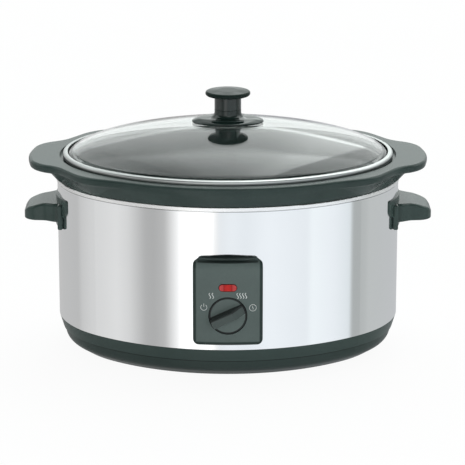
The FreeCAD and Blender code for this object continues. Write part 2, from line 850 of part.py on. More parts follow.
def crown_cut(body, wall):
    """Cuts a body to the dome's crown, a surface curved one way along and more across the lid."""
    top = f"(size.dome_top - {wall})"
    across = f"size.crown_width_radius - {wall}"
    reach = "size.half_width"
    sketch = sketch_on(body, "YZ")
    axis_level = "size.dome_top - size.crown_length_radius"
    axis = sketch.addGeometry(Part.LineSegment(point("-10", axis_level), point("10", axis_level)), True)
    for end in (1, 2):
        bind(sketch, "DistanceY", -1, 1, axis, end, to=axis_level)
    bind(sketch, "DistanceX", -1, 1, axis, 1, to="-10")
    bind(sketch, "DistanceX", -1, 1, axis, 2, to="10")
    radius = value(across)
    lean = math.asin(value(reach) / radius)
    centre = FreeCAD.Vector(0, value(f"{top} - ({across})"), 0)
    ring = Part.Circle(centre, UP, radius)
    arc = sketch.addGeometry(Part.ArcOfCircle(ring, math.pi / 2 - lean, math.pi / 2 + lean), False)
    edge_level = centre.y + radius * math.cos(lean)
    corners = [
        FreeCAD.Vector(-value(reach), edge_level, 0),
        FreeCAD.Vector(-value(reach), value(f"{top} + 30"), 0),
        FreeCAD.Vector(value(reach), value(f"{top} + 30"), 0),
        FreeCAD.Vector(value(reach), edge_level, 0),
    ]
    left = sketch.addGeometry(Part.LineSegment(corners[0], corners[1]), False)
    over = sketch.addGeometry(Part.LineSegment(corners[1], corners[2]), False)
    right = sketch.addGeometry(Part.LineSegment(corners[2], corners[3]), False)
    for one, other in ((arc, left), (left, over), (over, right), (right, arc)):
        sketch.addConstraint(Sketcher.Constraint("Coincident", one, 2, other, 1))
    sketch.addConstraint(Sketcher.Constraint("PointOnObject", arc, 3, -2))
    sketch.addConstraint(Sketcher.Constraint("Vertical", left))
    sketch.addConstraint(Sketcher.Constraint("Vertical", right))
    sketch.addConstraint(Sketcher.Constraint("Horizontal", over))
    bind(sketch, "Radius", arc, to=across)
    bind(sketch, "DistanceY", -1, 1, arc, 3, to=f"{top} - ({across})")
    bind(sketch, "DistanceX", -1, 1, left, 1, to=f"-({reach})")
    bind(sketch, "DistanceX", -1, 1, right, 1, to=reach)
    bind(sketch, "DistanceY", -1, 1, over, 1, to=f"{top} + 30")
    doc.recompute()
    before = body.Shape.Volume
    revolve(body, sketch, "Axis0", "80", both=True, kind="Groove")
    if not body.Shape.Volume < before:
        raise RuntimeError(f"{body.Label}: the crown cuts nothing")


def lid_glass():
    flange_top = "size.glass_base + size.glass_wall"
    tall = "size.dome_height + 6"
    solid = new_body("lid_glass_outside")
    oval_pad(solid, "(-size.dome_inset)", flange_top, tall, slope="-size.dome_slope")
    crown_cut(solid, "0")
    oval_pad(solid, "(-size.glass_edge)", "size.glass_base", "size.glass_wall")
    fillet(solid, "size.lid_band_round - size.lid_band_sheet",
           lambda edge: at_height(edge, "size.glass_base"))
    hole = sketch_on(solid, "XY", "size.dome_top + 5")
    circle(hole, "0", "0", "size.glass_hole")
    pocket(solid, hole)
    hollow = new_body("lid_glass_inside")
    inset = ("(-size.dome_inset + size.glass_wall * tan(size.dome_slope * 1 deg)"
             " - size.glass_wall / cos(size.dome_slope * 1 deg))")
    oval_pad(hollow, inset, "size.glass_base", tall, slope="-size.dome_slope")
    crown_cut(hollow, "size.glass_wall")
    glass = doc.addObject("Part::Cut", "lid_glass")
    glass.Base = solid
    glass.Tool = hollow
    doc.recompute()
    keep("lid_glass", glass)


# Lid knob: skirt, cap with a threaded insert, and the seals, washer and bolt that clamp the glass

def turned(label, corners):
    body = new_body(label)
    section = sketch_on(body, "XZ")
    outline(section, corners)
    revolve(body, section)
    keep(label, body)
    return body


def ellipse(sketch, half_length, half_width):
    """Ellipse about the sketch's origin, long along X."""
    ends = point(half_length, "0"), point("0", half_width)
    index = sketch.addGeometry(Part.Ellipse(ends[0], ends[1], FreeCAD.Vector()), False)
    sketch.exposeInternalGeometry(index)
    sketch.addConstraint(Sketcher.Constraint("Coincident", index, 3, -1, 1))
    sketch.addConstraint(Sketcher.Constraint("Horizontal", index + 1))
    bind(sketch, "Distance", index + 1, to=f"2 * ({half_length})")
    bind(sketch, "Distance", index + 2, to=f"2 * ({half_width})")


def knob_skirt(bolt_hole, gasket_top):
    """Oval foot that sits on the dome and flows up into the round neck."""
    body = new_body("knob_skirt")
    neck = "size.neck_radius"
    levels = [
        ("size.skirt_radius - 0.7", "size.skirt_depth - 0.7", "0"),
        ("size.skirt_radius", "size.skirt_depth", "size.skirt_edge * 0.5"),
        ("size.skirt_radius - 1.4", "size.skirt_depth - 1", "size.skirt_edge + 0.4"),
        ("size.skirt_radius - 7", "size.skirt_depth - 4.6", "size.skirt_edge + 2.5"),
        (f"{neck} + 5", f"{neck} + 3.4", "size.skirt_edge + 3.9"),
        (f"{neck} + 1.2", f"{neck} + 1", "size.skirt_edge + 5.6"),
    ]
    sections = []
    for half_length, half_width, rise in levels:
        section = sketch_on(body, "XY", f"size.skirt_base + {rise}")
        ellipse(section, half_length, half_width)
        sections.append(section)
    neck_base = "size.skirt_base + size.skirt_edge + 8.5"
    sections.append(sketch_on(body, "XY", neck_base))
    circle(sections[-1], "0", "0", neck)
    doc.recompute()
    loft = body.newObject("PartDesign::AdditiveLoft", "knob_skirt_loft")
    loft.Profile = sections[0]
    loft.Sections = sections[1:]
    doc.recompute()
    collar = sketch_on(body, "XY", neck_base)
    circle(collar, "0", "0", neck)
    pad(body, collar, f"size.seam - ({neck_base})")
    dish = sketch_on(body, "XY", "size.skirt_base")
    ellipse(dish, "size.skirt_radius - 2.4", "size.skirt_depth - 2.2")
    pocket(body, dish, "size.skirt_lift + 0.3", reverse=True)
    seat = sketch_on(body, "XY", "size.skirt_base")
    circle(seat, "0", "0", "size.gasket_radius + size.screw_fit")
    pocket(body, seat, f"{gasket_top} - size.skirt_base", reverse=True)
    bore = sketch_on(body, "XY", "size.seam")
    circle(bore, "0", "0", bolt_hole)
    pocket(body, bore)
    keep("knob_skirt", body)


def lid_knob():
    bolt_hole = "size.knob_bolt + size.screw_fit"
    gasket_top = "size.dome_top + size.fit + size.gasket_wall"
    knob_skirt(bolt_hole, gasket_top)
    cap_base = "size.knob_top - size.cap_edge"
    insert_hole = "size.insert_radius + size.fit"
    insert_top = "size.seam + size.insert_length + size.fit"
    turned("knob_cap", [
        (insert_hole, "size.seam"),
        ("size.neck_radius", "size.seam", "0.5"),
        ("size.neck_radius", cap_base, "1.6"),
        ("size.cap_radius", f"{cap_base} + 0.4", "2.2"),
        ("size.cap_radius", "size.knob_top - 1.2", "2.2"),
        ("size.cap_radius * 0.45", "size.knob_top", "20"),
        ("0", "size.knob_top"),
        ("0", insert_top),
        (insert_hole, insert_top),
    ])
    turned("knob_insert", [
        ("size.knob_bolt + size.fit", "size.seam"),
        ("size.insert_radius", "size.seam"),
        ("size.insert_radius", "size.seam + size.insert_length"),
        ("size.knob_bolt + size.fit", "size.seam + size.insert_length"),
    ])
    turned("knob_gasket", [
        (bolt_hole, "size.dome_top + size.fit"),
        ("size.gasket_radius", "size.dome_top + size.fit", "0.6"),
        ("size.gasket_radius", gasket_top, "0.6"),
        (bolt_hole, gasket_top),
    ])
    seal_top = "size.dome_under - 0.4"
    seal_base = f"{seal_top} - size.seal_wall"
    washer_base = f"{seal_base} - size.washer_wall"
    turned("knob_seal", [
        (bolt_hole, seal_base),
        ("size.seal_radius", seal_base),
        ("size.seal_radius", seal_top, "0.5"),
        (bolt_hole, seal_top),
    ])
    turned("knob_washer", [
        (bolt_hole, washer_base),
        ("size.washer_radius", washer_base, "0.5"),
        ("size.washer_radius", seal_base),
        (bolt_hole, seal_base),
    ])
    tip = "size.seam + size.insert_length - 2"
    turned("knob_bolt", [
        ("0", f"{washer_base} - size.knob_bolt_height"),
        ("size.knob_bolt_head", f"{washer_base} - size.knob_bolt_height", "1.4"),
        ("size.knob_bolt_head", washer_base),
        ("size.knob_bolt", washer_base),
        ("size.knob_bolt", tip),
        ("0", tip),
    ])


# Handles: wing that hugs the shell's end, leg below it and a hollow grip

def handle_body(label, side):
    """Body for one end of the oval; the left one is turned half round."""
    body = new_body(label)
    if side < 0:
        body.Placement.Rotation = FreeCAD.Rotation(UP, 180)
    return body


def fit_to_shell(body, base):
    """Hollows the back to the shell's end and drills the two screw holes."""
    back = sketch_on(body, "XY", base)
    circle(back, "size.end_centre", "0", "size.end_radius + size.fit")
    pocket(body, back, reverse=True)
    holes = sketch_on(body, "YZ", "size.end_centre")
    for end in (1, -1):
        circle(holes, f"{end} * size.handle_screw_y", "size.handle_screw_z", "size.screw_shank + size.fit")
    pocket(body, holes, "size.end_radius + size.wing_wall + 4", reverse=True)


def shell_plate(label, side, corners, wall):
    """Plate of even wall bent round the shell's end, with its outer edges eased."""
    body = handle_body(label, side)
    face = sketch_on(body, "YZ", "size.end_centre")
    outline(face, corners)
    pad(body, face, "size.end_radius + size.grip_reach")
    outside = f"size.end_radius + {wall}"
    trim = sketch_on(body, "XY", "size.handle_top + 1")
    circle(trim, "size.end_centre", "0", outside)
    far = "size.half + size.grip_reach + 20"
    box_outline(trim, f"-({far})", f"-({far})", far, far)
    pocket(body, trim)

    def on_outside(edge):
        start, stop = edge.ParameterRange
        spots = [edge.valueAt(start), edge.valueAt((start + stop) / 2), edge.valueAt(stop)]
        reach = [math.hypot(spot.x - value("size.end_centre"), spot.y) for spot in spots]
        return all(abs(distance - value(outside)) < 0.01 for distance in reach)

    fillet(body, f"{wall} * 0.4", on_outside)
    return body


def handle_wing(label, side):
    """Thin flange along the shell's end, high at its ends and lower over the grip."""
    low = "size.handle_top - size.wing_side"
    base = f"{low} - size.wing_taper"
    half_outline = [
        ("size.leg_half - 2", base, "3"),
        ("size.wing_half", low, "4"),
        ("size.wing_half", "size.handle_top", "2"),
    ]
    mirrored = [(f"-({y})", z, rounding) for y, z, rounding in reversed(half_outline)]
    middle = [("0", "size.handle_top - size.wing_dip", "60")]
    body = shell_plate(f"{label}_wing", side, half_outline + middle + mirrored, "size.flange_wall")
    fit_to_shell(body, base)
    return body


def handle_leg(label, side):
    """Thicker pad under the grip."""
    base = "size.handle_top - size.handle_drop"
    top = f"{base} + size.leg_height"
    corners = [
        ("-size.leg_half", base, "3"),
        ("size.leg_half", base, "3"),
        ("size.leg_half", top, "2"),
        ("-size.leg_half", top, "2"),
    ]
    body = shell_plate(f"{label}_leg", side, corners, "size.wing_wall")
    fit_to_shell(body, base)
    return body


def handle_grip(label, side):
    """Grip that falls away to its tip, rounded all along its top and hollow underneath."""
    body = handle_body(f"{label}_grip", side)
    base = "size.grip_top - size.grip_height"
    tip = "size.half + size.grip_reach"
    root = "size.half + size.wing_wall"
    plan = sketch_on(body, "XY", base)
    outline(plan, [
        ("size.half - 10", "-size.grip_root_half - 1"),
        (root, "-size.grip_root_half", "9"),
        (f"{root} + 10", "-size.grip_half", "12"),
        (tip, "-size.grip_half + 2", "size.grip_tip_radius"),
        (tip, "size.grip_half - 2", "size.grip_tip_radius"),
        (f"{root} + 10", "size.grip_half", "12"),
        (root, "size.grip_root_half", "9"),
        ("size.half - 10", "size.grip_root_half + 1"),
    ])
    pad(body, plan, "size.grip_height + size.grip_top_drop")
    crest = sketch_on(body, "XZ")
    outline(crest, [
        ("size.half - 12", "size.grip_top - 1.5"),
        (f"{root} + 14", "size.grip_top - 3.4", "40"),
        (f"{tip} - 4", "size.grip_top - size.grip_fall", "10"),
        (f"{tip} + 1", "size.grip_top - size.grip_fall - 6"),
        (f"{tip} + 1", "size.grip_top + 12"),
        ("size.half - 12", "size.grip_top + 12"),
    ])
    pocket(body, crest, "2 * size.grip_root_half + 4", both=True)
    middle = value(f"{base} + 4")

    def along_tip(edge):
        spot = edge.CenterOfMass
        return spot.x > value(tip) - 0.5 and abs(spot.y) < 1 and spot.z > middle

    def along_foot(edge):
        return at_height(edge, base) and edge.CenterOfMass.x > value(tip) - 0.5

    fillet(body, "size.grip_round", along_tip)
    fillet(body, "size.grip_foot_round", along_foot)
    hollow = sketch_on(body, "XY", base)
    hollow_half = "size.grip_half - size.grip_wall"
    hollow_corner = "size.grip_tip_radius - size.grip_wall"
    outline(hollow, [
        (f"{root} + 6", f"-({hollow_half})", "3"),
        (f"{tip} - size.grip_wall", f"2 - ({hollow_half})", hollow_corner),
        (f"{tip} - size.grip_wall", f"{hollow_half} - 2", hollow_corner),
        (f"{root} + 6", hollow_half, "3"),
    ])
    pocket(body, hollow, "size.grip_height - size.grip_fall - size.grip_wall - 1", reverse=True)
    fit_to_shell(body, base)
    return body


def handle(label, side):
    whole = doc.addObject("Part::MultiFuse", label)
    whole.Shapes = [handle_wing(label, side), handle_leg(label, side), handle_grip(label, side)]
    whole.Refine = True
    doc.recompute()
    keep(label, whole)


def handle_fixings(side):
    name = "right" if side > 0 else "left"
    plate = new_body(f"{name}_handle_backplate")
    if side < 0:
        plate.Placement.Rotation = FreeCAD.Rotation(UP, 180)
    section = sketch_on(plate, "XZ")
    outside = f"{END} - size.sheet - size.fit"
    low = "size.handle_screw_z - size.backplate_height / 2"
    upright = Part.LineSegment(point("size.end_centre", "0"), point("size.end_centre", "10"))
    axis = section.addGeometry(upright, True)
    for end, level in ((1, "0"), (2, "10")):
        bind(section, "DistanceX", -1, 1, axis, end, to="size.end_centre")
        bind(section, "DistanceY", -1, 1, axis, end, to=level)
    box_outline(section, f"{outside} - size.backplate_wall", low, outside, f"{low} + size.backplate_height")
    span = "2 * asin(size.backplate_half / size.end_radius) / 1 deg"
    revolve(plate, section, "Axis0", span, both=True)
    holes = sketch_on(plate, "YZ", "size.end_centre")
    bore = "size.screw_shank + size.screw_fit"
    for end in (1, -1):
        circle(holes, f"{end} * size.handle_screw_y", "size.handle_screw_z", bore)
    pocket(plate, holes, reverse=True)
    keep(f"{name}_handle_backplate", plate)
    inside = ("(size.end_centre + sqrt((size.end_radius - size.sheet - size.fit - size.backplate_wall)^2"
              " - (size.handle_screw_y + size.screw_head)^2) - size.fit)")
    screws = []
    for i, end in enumerate((1, -1)):
        body = doc.addObject("PartDesign::Body", f"{name}_handle_screw_{i + 1}")
        if side < 0:
            body.Placement.Rotation = FreeCAD.Rotation(UP, 180)
        body.setExpression("Placement.Base.y", f"size.oval_y + {end} * size.handle_screw_y")
        body.setExpression("Placement.Base.z", "size.handle_screw_z")
        section = sketch_on(body, "XZ")
        tip = "size.half + size.wing_wall + 1"
        outline(section, [
            (f"{inside} - size.screw_head_height", "0"),
            (f"{inside} - size.screw_head_height", "size.screw_head", "0.8"),
            (inside, "size.screw_head"),
            (inside, "size.screw_shank"),
            (tip, "size.screw_shank"),
            (tip, "0"),
        ])
        revolve(body, section, "H_Axis")
        screws.append(body)
    group = doc.addObject("Part::Compound", f"{name}_handle_screws")
    group.Links = screws
    keep(f"{name}_handle_screws", group)


# Control panel: hollow moulding with a bowed face, a sunk dial well, a lens slot and screw bosses

def panel_screw_levels():
    return (
        "(size.panel_base + size.panel_screw_inset)",
        "(size.panel_base + size.panel_height - size.panel_arch - size.panel_screw_inset)",
    )


def panel_outline(sketch, inset, corner, drop="0"):
    """Front view of the panel: arched top, rounded corners."""
    left, right = f"-(size.panel_half - {inset})", f"size.panel_half - {inset}"
    base = f"size.panel_base + {inset}"
    crest = f"size.panel_base + size.panel_height - {inset} - {drop}"
    shoulder = f"{crest} - size.panel_arch"
    outline(sketch, [
        (left, base, corner),
        (right, base, corner),
        (right, shoulder, corner),
        ("0", crest, "120"),
        (left, shoulder, corner),
    ])


def control_panel():
    body = new_body("control_panel")
    front = sketch_on(body, "XZ", "size.half_width - 6")
    panel_outline(front, "0", "size.panel_corner")
    pad(body, front, "size.panel_depth + 10")
    bow = sketch_on(body, "XY", "size.panel_base")
    circle(bow, "0", "size.side_centre", "size.side_radius + size.panel_depth")
    wide = "size.side_radius + size.panel_depth + 40"
    box_outline(bow, f"-({wide})", f"size.side_centre - ({wide})", wide, f"size.side_centre + {wide}")
    pocket(body, bow, reverse=True)
    reach = value("size.half_width + size.panel_depth / 2")
    fillet(body, "size.panel_edge", lambda edge: edge.CenterOfMass.y < -reach and edge.BoundBox.YMax < -reach)
    top = "size.panel_base + size.panel_height"
    lean = sketch_on(body, "YZ")
    outline(lean, [
        ("size.panel_edge - size.panel_face", top),
        ("8 - size.half_width", f"{top} - size.panel_lean"),
        ("8 - size.half_width", f"{top} + 5"),
        ("size.panel_edge - size.panel_face", f"{top} + 5"),
    ])
    pocket(body, lean, "3 * size.panel_half", both=True)
    cavity = sketch_on(body, "XZ", "size.half_width - 8")
    panel_outline(cavity, "size.panel_wall", "size.panel_corner - size.panel_wall", "size.panel_lean")
    pocket(body, cavity, "size.panel_depth + 8 - size.panel_wall - 1.5", reverse=True)
    cup = sketch_on(body, "XZ", "size.cup_back")
    circle(cup, "0", "size.dial_height", "size.dial_radius + size.dial_gap + size.panel_wall")
    for side in (1, -1):
        for level in panel_screw_levels():
            circle(cup, f"{side} * size.panel_screw_x", level, "size.screw_head + 0.5")
    pad(body, cup, "size.panel_face - size.cup_back - 3")
    posts = sketch_on(body, "XZ", "size.half_width - 8")
    for side in (1, -1):
        for level in panel_screw_levels():
            circle(posts, f"{side} * size.panel_screw_x", level, "size.screw_head + 0.5")
    pad(body, posts, "size.panel_depth + 5")
    well = sketch_on(body, "XZ", "size.dial_floor")
    circle(well, "0", "size.dial_height", "size.dial_radius + size.dial_gap")
    pocket(body, well, "size.dial_well + 5", reverse=True)
    bush = sketch_on(body, "XZ", "size.dial_floor")
    circle(bush, "0", "size.dial_height", "size.bush_radius + size.fit")
    pocket(body, bush, "size.panel_wall + 1")
    slot = sketch_on(body, "XZ", "size.half_width")
    pill(slot, "size.lens_half + size.fit", "size.lens_radius + size.fit")
    pocket(body, slot, "size.panel_depth + 5", reverse=True)
    back = sketch_on(body, "XY", "size.panel_base")
    circle(back, "0", "size.side_centre", "size.side_radius + size.fit")
    pocket(body, back, both=True)
    pilots = sketch_on(body, "XZ", "size.half_width - 8")
    for side in (1, -1):
        for level in panel_screw_levels():
            circle(pilots, f"{side} * size.panel_screw_x", level, "size.screw_shank + size.fit")
    pocket(body, pilots, "size.panel_depth + 2", reverse=True)
    keep("control_panel", body)


def pill(sketch, half, radius):
    """Slot with round ends at the lens's place."""
    level = "size.dial_height + size.lens_rise"
    box_outline(
        sketch,
        f"-({half})", f"{level} - ({radius})", half, f"{level} + {radius}",
        f"({radius}) * 0.98",
    )


def panel_screws():
    screws = []
    wall = side_depth("size.side_radius - size.sheet", "size.panel_screw_x + size.screw_head")
    seat = f"({wall} - size.fit)"
    for side in (1, -1):
        for i, level in enumerate(panel_screw_levels()):
            body = doc.addObject("PartDesign::Body", f"panel_screw_{side + 2}{i}")
            body.setExpression("Placement.Base.x", f"{side} * size.panel_screw_x")
            body.setExpression("Placement.Base.y", "size.oval_y")
            body.setExpression("Placement.Base.z", level)
            section = sketch_on(body, "XY")
            outline(section, [
                ("0", f"-({seat} - size.screw_head_height)"),
                ("size.screw_head", f"-({seat} - size.screw_head_height)", "0.8"),
                ("size.screw_head", f"-{seat}"),
                ("size.screw_shank", f"-{seat}"),
                ("size.screw_shank", f"-({seat} + 12)"),
                ("0", f"-({seat} + 12)"),
            ])
            revolve(body, section)
            screws.append(body)
    group = doc.addObject("Part::Compound", "panel_screws")
    group.Links = screws
    keep("panel_screws", group)


def pilot_lens():
    body = new_body("pilot_lens")
    lens = sketch_on(body, "XZ", "size.panel_face + size.lens_proud - size.lens_depth")
    pill(lens, "size.lens_half", "size.lens_radius")
    pad(body, lens, "size.lens_depth")
    front = value("size.panel_face + size.lens_proud")
    fillet(body, "1.2", lambda edge: edge.BoundBox.YMax < -front + 0.01)
    flange = sketch_on(body, "XZ", "size.panel_inner - 1.6 - size.lens_flange")
    pill(flange, "size.lens_half + 2", "size.lens_radius + 1.6")
    pad(body, flange, "size.lens_flange")
    cup = sketch_on(body, "XZ", "size.panel_face + size.lens_proud - size.lens_depth")
    pill(cup, "size.lens_half - 1.4", "size.lamp_radius + 0.4")
    pocket(body, cup, "size.lens_depth - 2.5", reverse=True)
    keep("pilot_lens", body)


def pilot_lamp():
    body = new_body("pilot_lamp")
    body.setExpression("Placement.Base.y",
                       "size.oval_y - (size.panel_face + size.lens_proud - 2.5 - size.lamp_radius - 0.3)")
    body.setExpression("Placement.Base.z", "size.dial_height + size.lens_rise")
    section = sketch_on(body, "XZ")
    end = "size.lamp_length / 2"
    outline(section, [
        (f"-{end}", "0"),
        (f"-{end}", "size.lamp_radius", "1.5"),
        (end, "size.lamp_radius", "1.5"),
        (end, "0"),
    ])
    revolve(body, section, "H_Axis")
    keep("pilot_lamp", body)


# Rotary switch: box with a threaded bush, fixed by a nut, and its spindle

def rotary_switch():
    body = new_body("switch_body")
    box = sketch_on(body, "XZ", "size.cup_back - size.switch_depth")
    box_outline(
        box,
        "-size.switch_half", "size.dial_height - size.switch_half",
        "size.switch_half", "size.dial_height + size.switch_half", "3",
    )
    pad(body, box, "size.switch_depth")
    bush = sketch_on(body, "XZ", "size.cup_back")
    circle(bush, "0", "size.dial_height", "size.bush_radius")
    pad(body, bush, "size.panel_wall + size.nut_wall + 0.5")
    bore = sketch_on(body, "XZ", "size.cup_back - size.switch_depth / 2")
    circle(bore, "0", "size.dial_height", "size.spindle_radius + size.run_fit")
    pocket(body, bore, "size.switch_depth + 10", reverse=True)
    keep("switch_body", body)
    nut = new_body("switch_nut")
    hexagon = sketch_on(nut, "XZ", "size.dial_floor")
    corners = []
    for i in range(6):
        across = f"size.nut_radius * cos({60 * i} deg)"
        height = f"size.dial_height + size.nut_radius * sin({60 * i} deg)"
        corners.append((across, height))
    outline(hexagon, corners)
    circle(hexagon, "0", "size.dial_height", "size.bush_radius + size.fit")
    pad(nut, hexagon, "size.nut_wall")
    keep("switch_nut", nut)


def dial_frame(body):
    """Puts a body on the dial's axis, turned to its rest mark."""
    body.Placement.Rotation = FreeCAD.Rotation(FreeCAD.Vector(0, -1, 0), value("size.dial_rest"))
    body.setExpression("Placement.Base.y", "size.oval_y - size.dial_face")
    body.setExpression("Placement.Base.z", "size.dial_height")


def switch_spindle():
    body = new_body("switch_spindle")
    dial_frame(body)
    rod = sketch_on(body, "XZ", "size.dial_bar - 3")
    circle(rod, "0", "0", "size.spindle_radius")
    length = "size.dial_bar - 3 + size.dial_face - size.cup_back + size.switch_depth / 2 - 0.5"
    pad(body, rod, length, reverse=True)
    flat = sketch_on(body, "XZ", "size.dial_bar - 3")
    box_outline(flat, "-size.spindle_radius - 1", "size.spindle_radius * 0.5", "size.spindle_radius + 1",
                "size.spindle_radius + 1")
    pocket(body, flat, "size.dial_bar - 3 + size.dial_disc")
    keep("switch_spindle", body)


def control_dial():
    body = new_body("control_dial")
    dial_frame(body)
    disc = sketch_on(body, "XZ", "-size.dial_disc")
    circle(disc, "0", "0", "size.dial_radius")
    pad(body, disc, "size.dial_disc")
    fillet(body, "0.5", lambda edge: edge.BoundBox.YMax < 0.01 and edge.BoundBox.YMin > -0.01)
    bar = sketch_on(body, "XZ", "-1")
    half = "size.dial_radius - 0.4"
    box_outline(bar, f"-({half})", "-size.dial_bar_half", half, "size.dial_bar_half", "3")
    pad(body, bar, "size.dial_bar + 1", slope="-4")
    ramp = sketch_on(body, "XY")
    outline(ramp, [
        (f"{half} + 3", "-0.8"),
        (f"{half} - 1.5", "-1.2"),
        ("size.dial_radius * 0.32", "-size.dial_bar - 0.2"),
        ("size.dial_radius * 0.32", "-size.dial_bar - 4"),
        (f"{half} + 3", "-size.dial_bar - 4"),
    ])
    pocket(body, ramp, both=True)
    top = value("size.dial_bar")
    fillet(body, "0.9", lambda edge: edge.BoundBox.YMin < -top + 0.01 and edge.BoundBox.YMax < -top + 0.01
           and edge.CenterOfMass.x < value("size.dial_radius * 0.31"))
    bore = sketch_on(body, "XZ", "-size.dial_disc")
    flat = "size.spindle_radius * 0.5 + size.fit"
    radius = value("size.spindle_radius + size.fit")
    lean = math.asin(value(flat) / radius)
    ring = Part.Circle(FreeCAD.Vector(0, 0, 0), UP, radius)
    arc = bore.addGeometry(Part.ArcOfCircle(ring, math.pi - lean, 2 * math.pi + lean), False)
    left = FreeCAD.Vector(-radius * math.cos(lean), value(flat), 0)
    right = FreeCAD.Vector(radius * math.cos(lean), value(flat), 0)
    chord = bore.addGeometry(Part.LineSegment(right, left), False)
    bore.addConstraint(Sketcher.Constraint("Coincident", arc, 2, chord, 1))
    bore.addConstraint(Sketcher.Constraint("Coincident", chord, 2, arc, 1))
    bore.addConstraint(Sketcher.Constraint("Coincident", arc, 3, -1, 1))
    bore.addConstraint(Sketcher.Constraint("Horizontal", chord))
    bind(bore, "Radius", arc, to="size.spindle_radius + size.fit")
    bind(bore, "DistanceY", -1, 1, chord, 1, to=flat)
    pocket(body, bore, "size.dial_disc + size.dial_bar - 3 + size.fit", reverse=True)
    keep("control_dial", body)


# Cord gland: flanged bush through the back of the shell with a nut inside

def cord_gland():
    flange_seat = "size.half_width + size.screw_fit"
    inner = f"{side_depth('size.side_radius - size.sheet', 'size.gland_flange')} - size.fit"

    def turned_at_back(label, corners):
        body = new_body(label)
        body.setExpression("Placement.Base.z", "size.gland_height")
        section = sketch_on(body, "XY")
        outline(section, corners)
        revolve(body, section)
        keep(label, body)

    turned_at_back("cord_gland", [
        ("size.gland_bore", f"{inner} - size.gland_neck_length"),
        ("size.gland_neck", f"{inner} - size.gland_neck_length"),
        ("size.gland_neck", flange_seat),
        ("size.gland_flange", flange_seat),
        ("size.gland_flange", f"{flange_seat} + size.gland_flange_wall", "1.5"),
        ("size.gland_bore + 2", f"{flange_seat} + size.gland_flange_wall + 1"),
        ("size.gland_bore", f"{flange_seat} + size.gland_flange_wall + 1"),
    ])
    turned_at_back("gland_nut", [
        ("size.gland_neck + size.fit", f"{inner} - size.gland_nut_wall"),
        ("size.gland_flange", f"{inner} - size.gland_nut_wall"),
        ("size.gland_flange", inner),
        ("size.gland_neck + size.fit", inner),
    ])


base_tray()
rubber_feet()
base_screws()
well_pillars()
heat_shield()
outer_shell()
heating_well()
heater_band()
heater_bolts()
thermostat()
thermal_fuse()
terminal_block()
crock()
lid_rim()
lid_glass()
lid_knob()
for side, label in ((1, "right_handle"), (-1, "left_handle")):
    handle(label, side)
    handle_fixings(side)
control_panel()
panel_screws()
pilot_lens()
pilot_lamp()
rotary_switch()
switch_spindle()
control_dial()
cord_gland()
doc.recompute()

# Every object has to be sound before anything is written
for thing in doc.Objects:
    if "Invalid" in thing.State or "Error" in thing.State:
        raise RuntimeError(f"{thing.Label} failed: {thing.State}")
for label, thing in nodes:
    if thing.Shape.isNull() or not thing.Shape.isValid():
        raise RuntimeError(f"{label} has no valid shape")

os.makedirs("parts", exist_ok=True)
for label, thing in nodes:
    thing.Shape.exportStep(f"parts/{label}.step")
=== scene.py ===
import bpy
import math
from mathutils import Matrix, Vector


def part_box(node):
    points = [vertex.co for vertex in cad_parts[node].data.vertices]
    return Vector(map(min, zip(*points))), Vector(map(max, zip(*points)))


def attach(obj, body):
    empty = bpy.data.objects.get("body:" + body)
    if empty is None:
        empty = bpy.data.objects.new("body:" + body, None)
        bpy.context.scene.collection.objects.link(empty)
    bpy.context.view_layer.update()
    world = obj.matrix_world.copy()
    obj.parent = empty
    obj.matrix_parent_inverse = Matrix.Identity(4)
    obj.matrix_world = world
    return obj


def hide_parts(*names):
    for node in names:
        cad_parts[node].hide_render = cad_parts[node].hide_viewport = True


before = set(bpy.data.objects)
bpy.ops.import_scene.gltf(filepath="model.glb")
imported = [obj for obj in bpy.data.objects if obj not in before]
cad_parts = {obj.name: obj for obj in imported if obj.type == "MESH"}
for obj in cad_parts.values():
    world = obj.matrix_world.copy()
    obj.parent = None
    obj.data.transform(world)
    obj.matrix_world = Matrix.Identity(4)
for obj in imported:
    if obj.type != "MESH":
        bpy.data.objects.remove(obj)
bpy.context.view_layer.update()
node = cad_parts
bpy.ops.object.select_all(action="DESELECT")

# Base tray: the oval foot that the shell stands in, with the stepped band seen all round the bottom.
# It is one polypropylene moulding with a fine satin grain, screwed up into the pillars of the well.
# The band below its step is darkened with painted shade, and a fine line of painted shade lies along the step.

tray_step, tray_shade_line = 0.0223, 0.0012
edge_width = 0.00025
past_all = 1.0


def shader_group(name, inputs, outputs):
    """Empty shader node group with named sockets."""
    group = bpy.data.node_groups.new(name, "ShaderNodeTree")
    for label, kind, start in inputs:
        socket = group.interface.new_socket(label, in_out="INPUT", socket_type=kind)
        socket.default_value = start
    for label, kind in outputs:
        group.interface.new_socket(label, in_out="OUTPUT", socket_type=kind)
    return group


def math_node(tree, operation, first, second=0.0, third=0.0, clamp=False):
    """Math node whose inputs are numbers or sockets; gives its output."""
    made = tree.nodes.new("ShaderNodeMath")
    made.operation = operation
    made.use_clamp = clamp
    for slot, value in enumerate((first, second, third)):
        if isinstance(value, (int, float)):
            made.inputs[slot].default_value = value
        else:
            tree.links.new(value, made.inputs[slot])
    return made.outputs[0]


def noise(tree, vector, scale, detail=2.0, rough=0.5):
    """Noise texture on the given coordinates; gives its grey value."""
    made = tree.nodes.new("ShaderNodeTexNoise")
    made.inputs["Detail"].default_value = detail
    made.inputs["Roughness"].default_value = rough
    tree.links.new(vector, made.inputs["Vector"])
    if isinstance(scale, (int, float)):
        made.inputs["Scale"].default_value = scale
    else:
        tree.links.new(scale, made.inputs["Scale"])
    return made.outputs["Fac"]


def scaled(tree, tone, share):
    """A colour, as numbers or a socket, times a socket's value; gives the product."""
    made = tree.nodes.new("ShaderNodeVectorMath")
    made.operation = "SCALE"
    if isinstance(tone, tuple):
        made.inputs[0].default_value = tone
    else:
        tree.links.new(tone, made.inputs[0])
    tree.links.new(share, made.inputs["Scale"])
    return made.outputs[0]


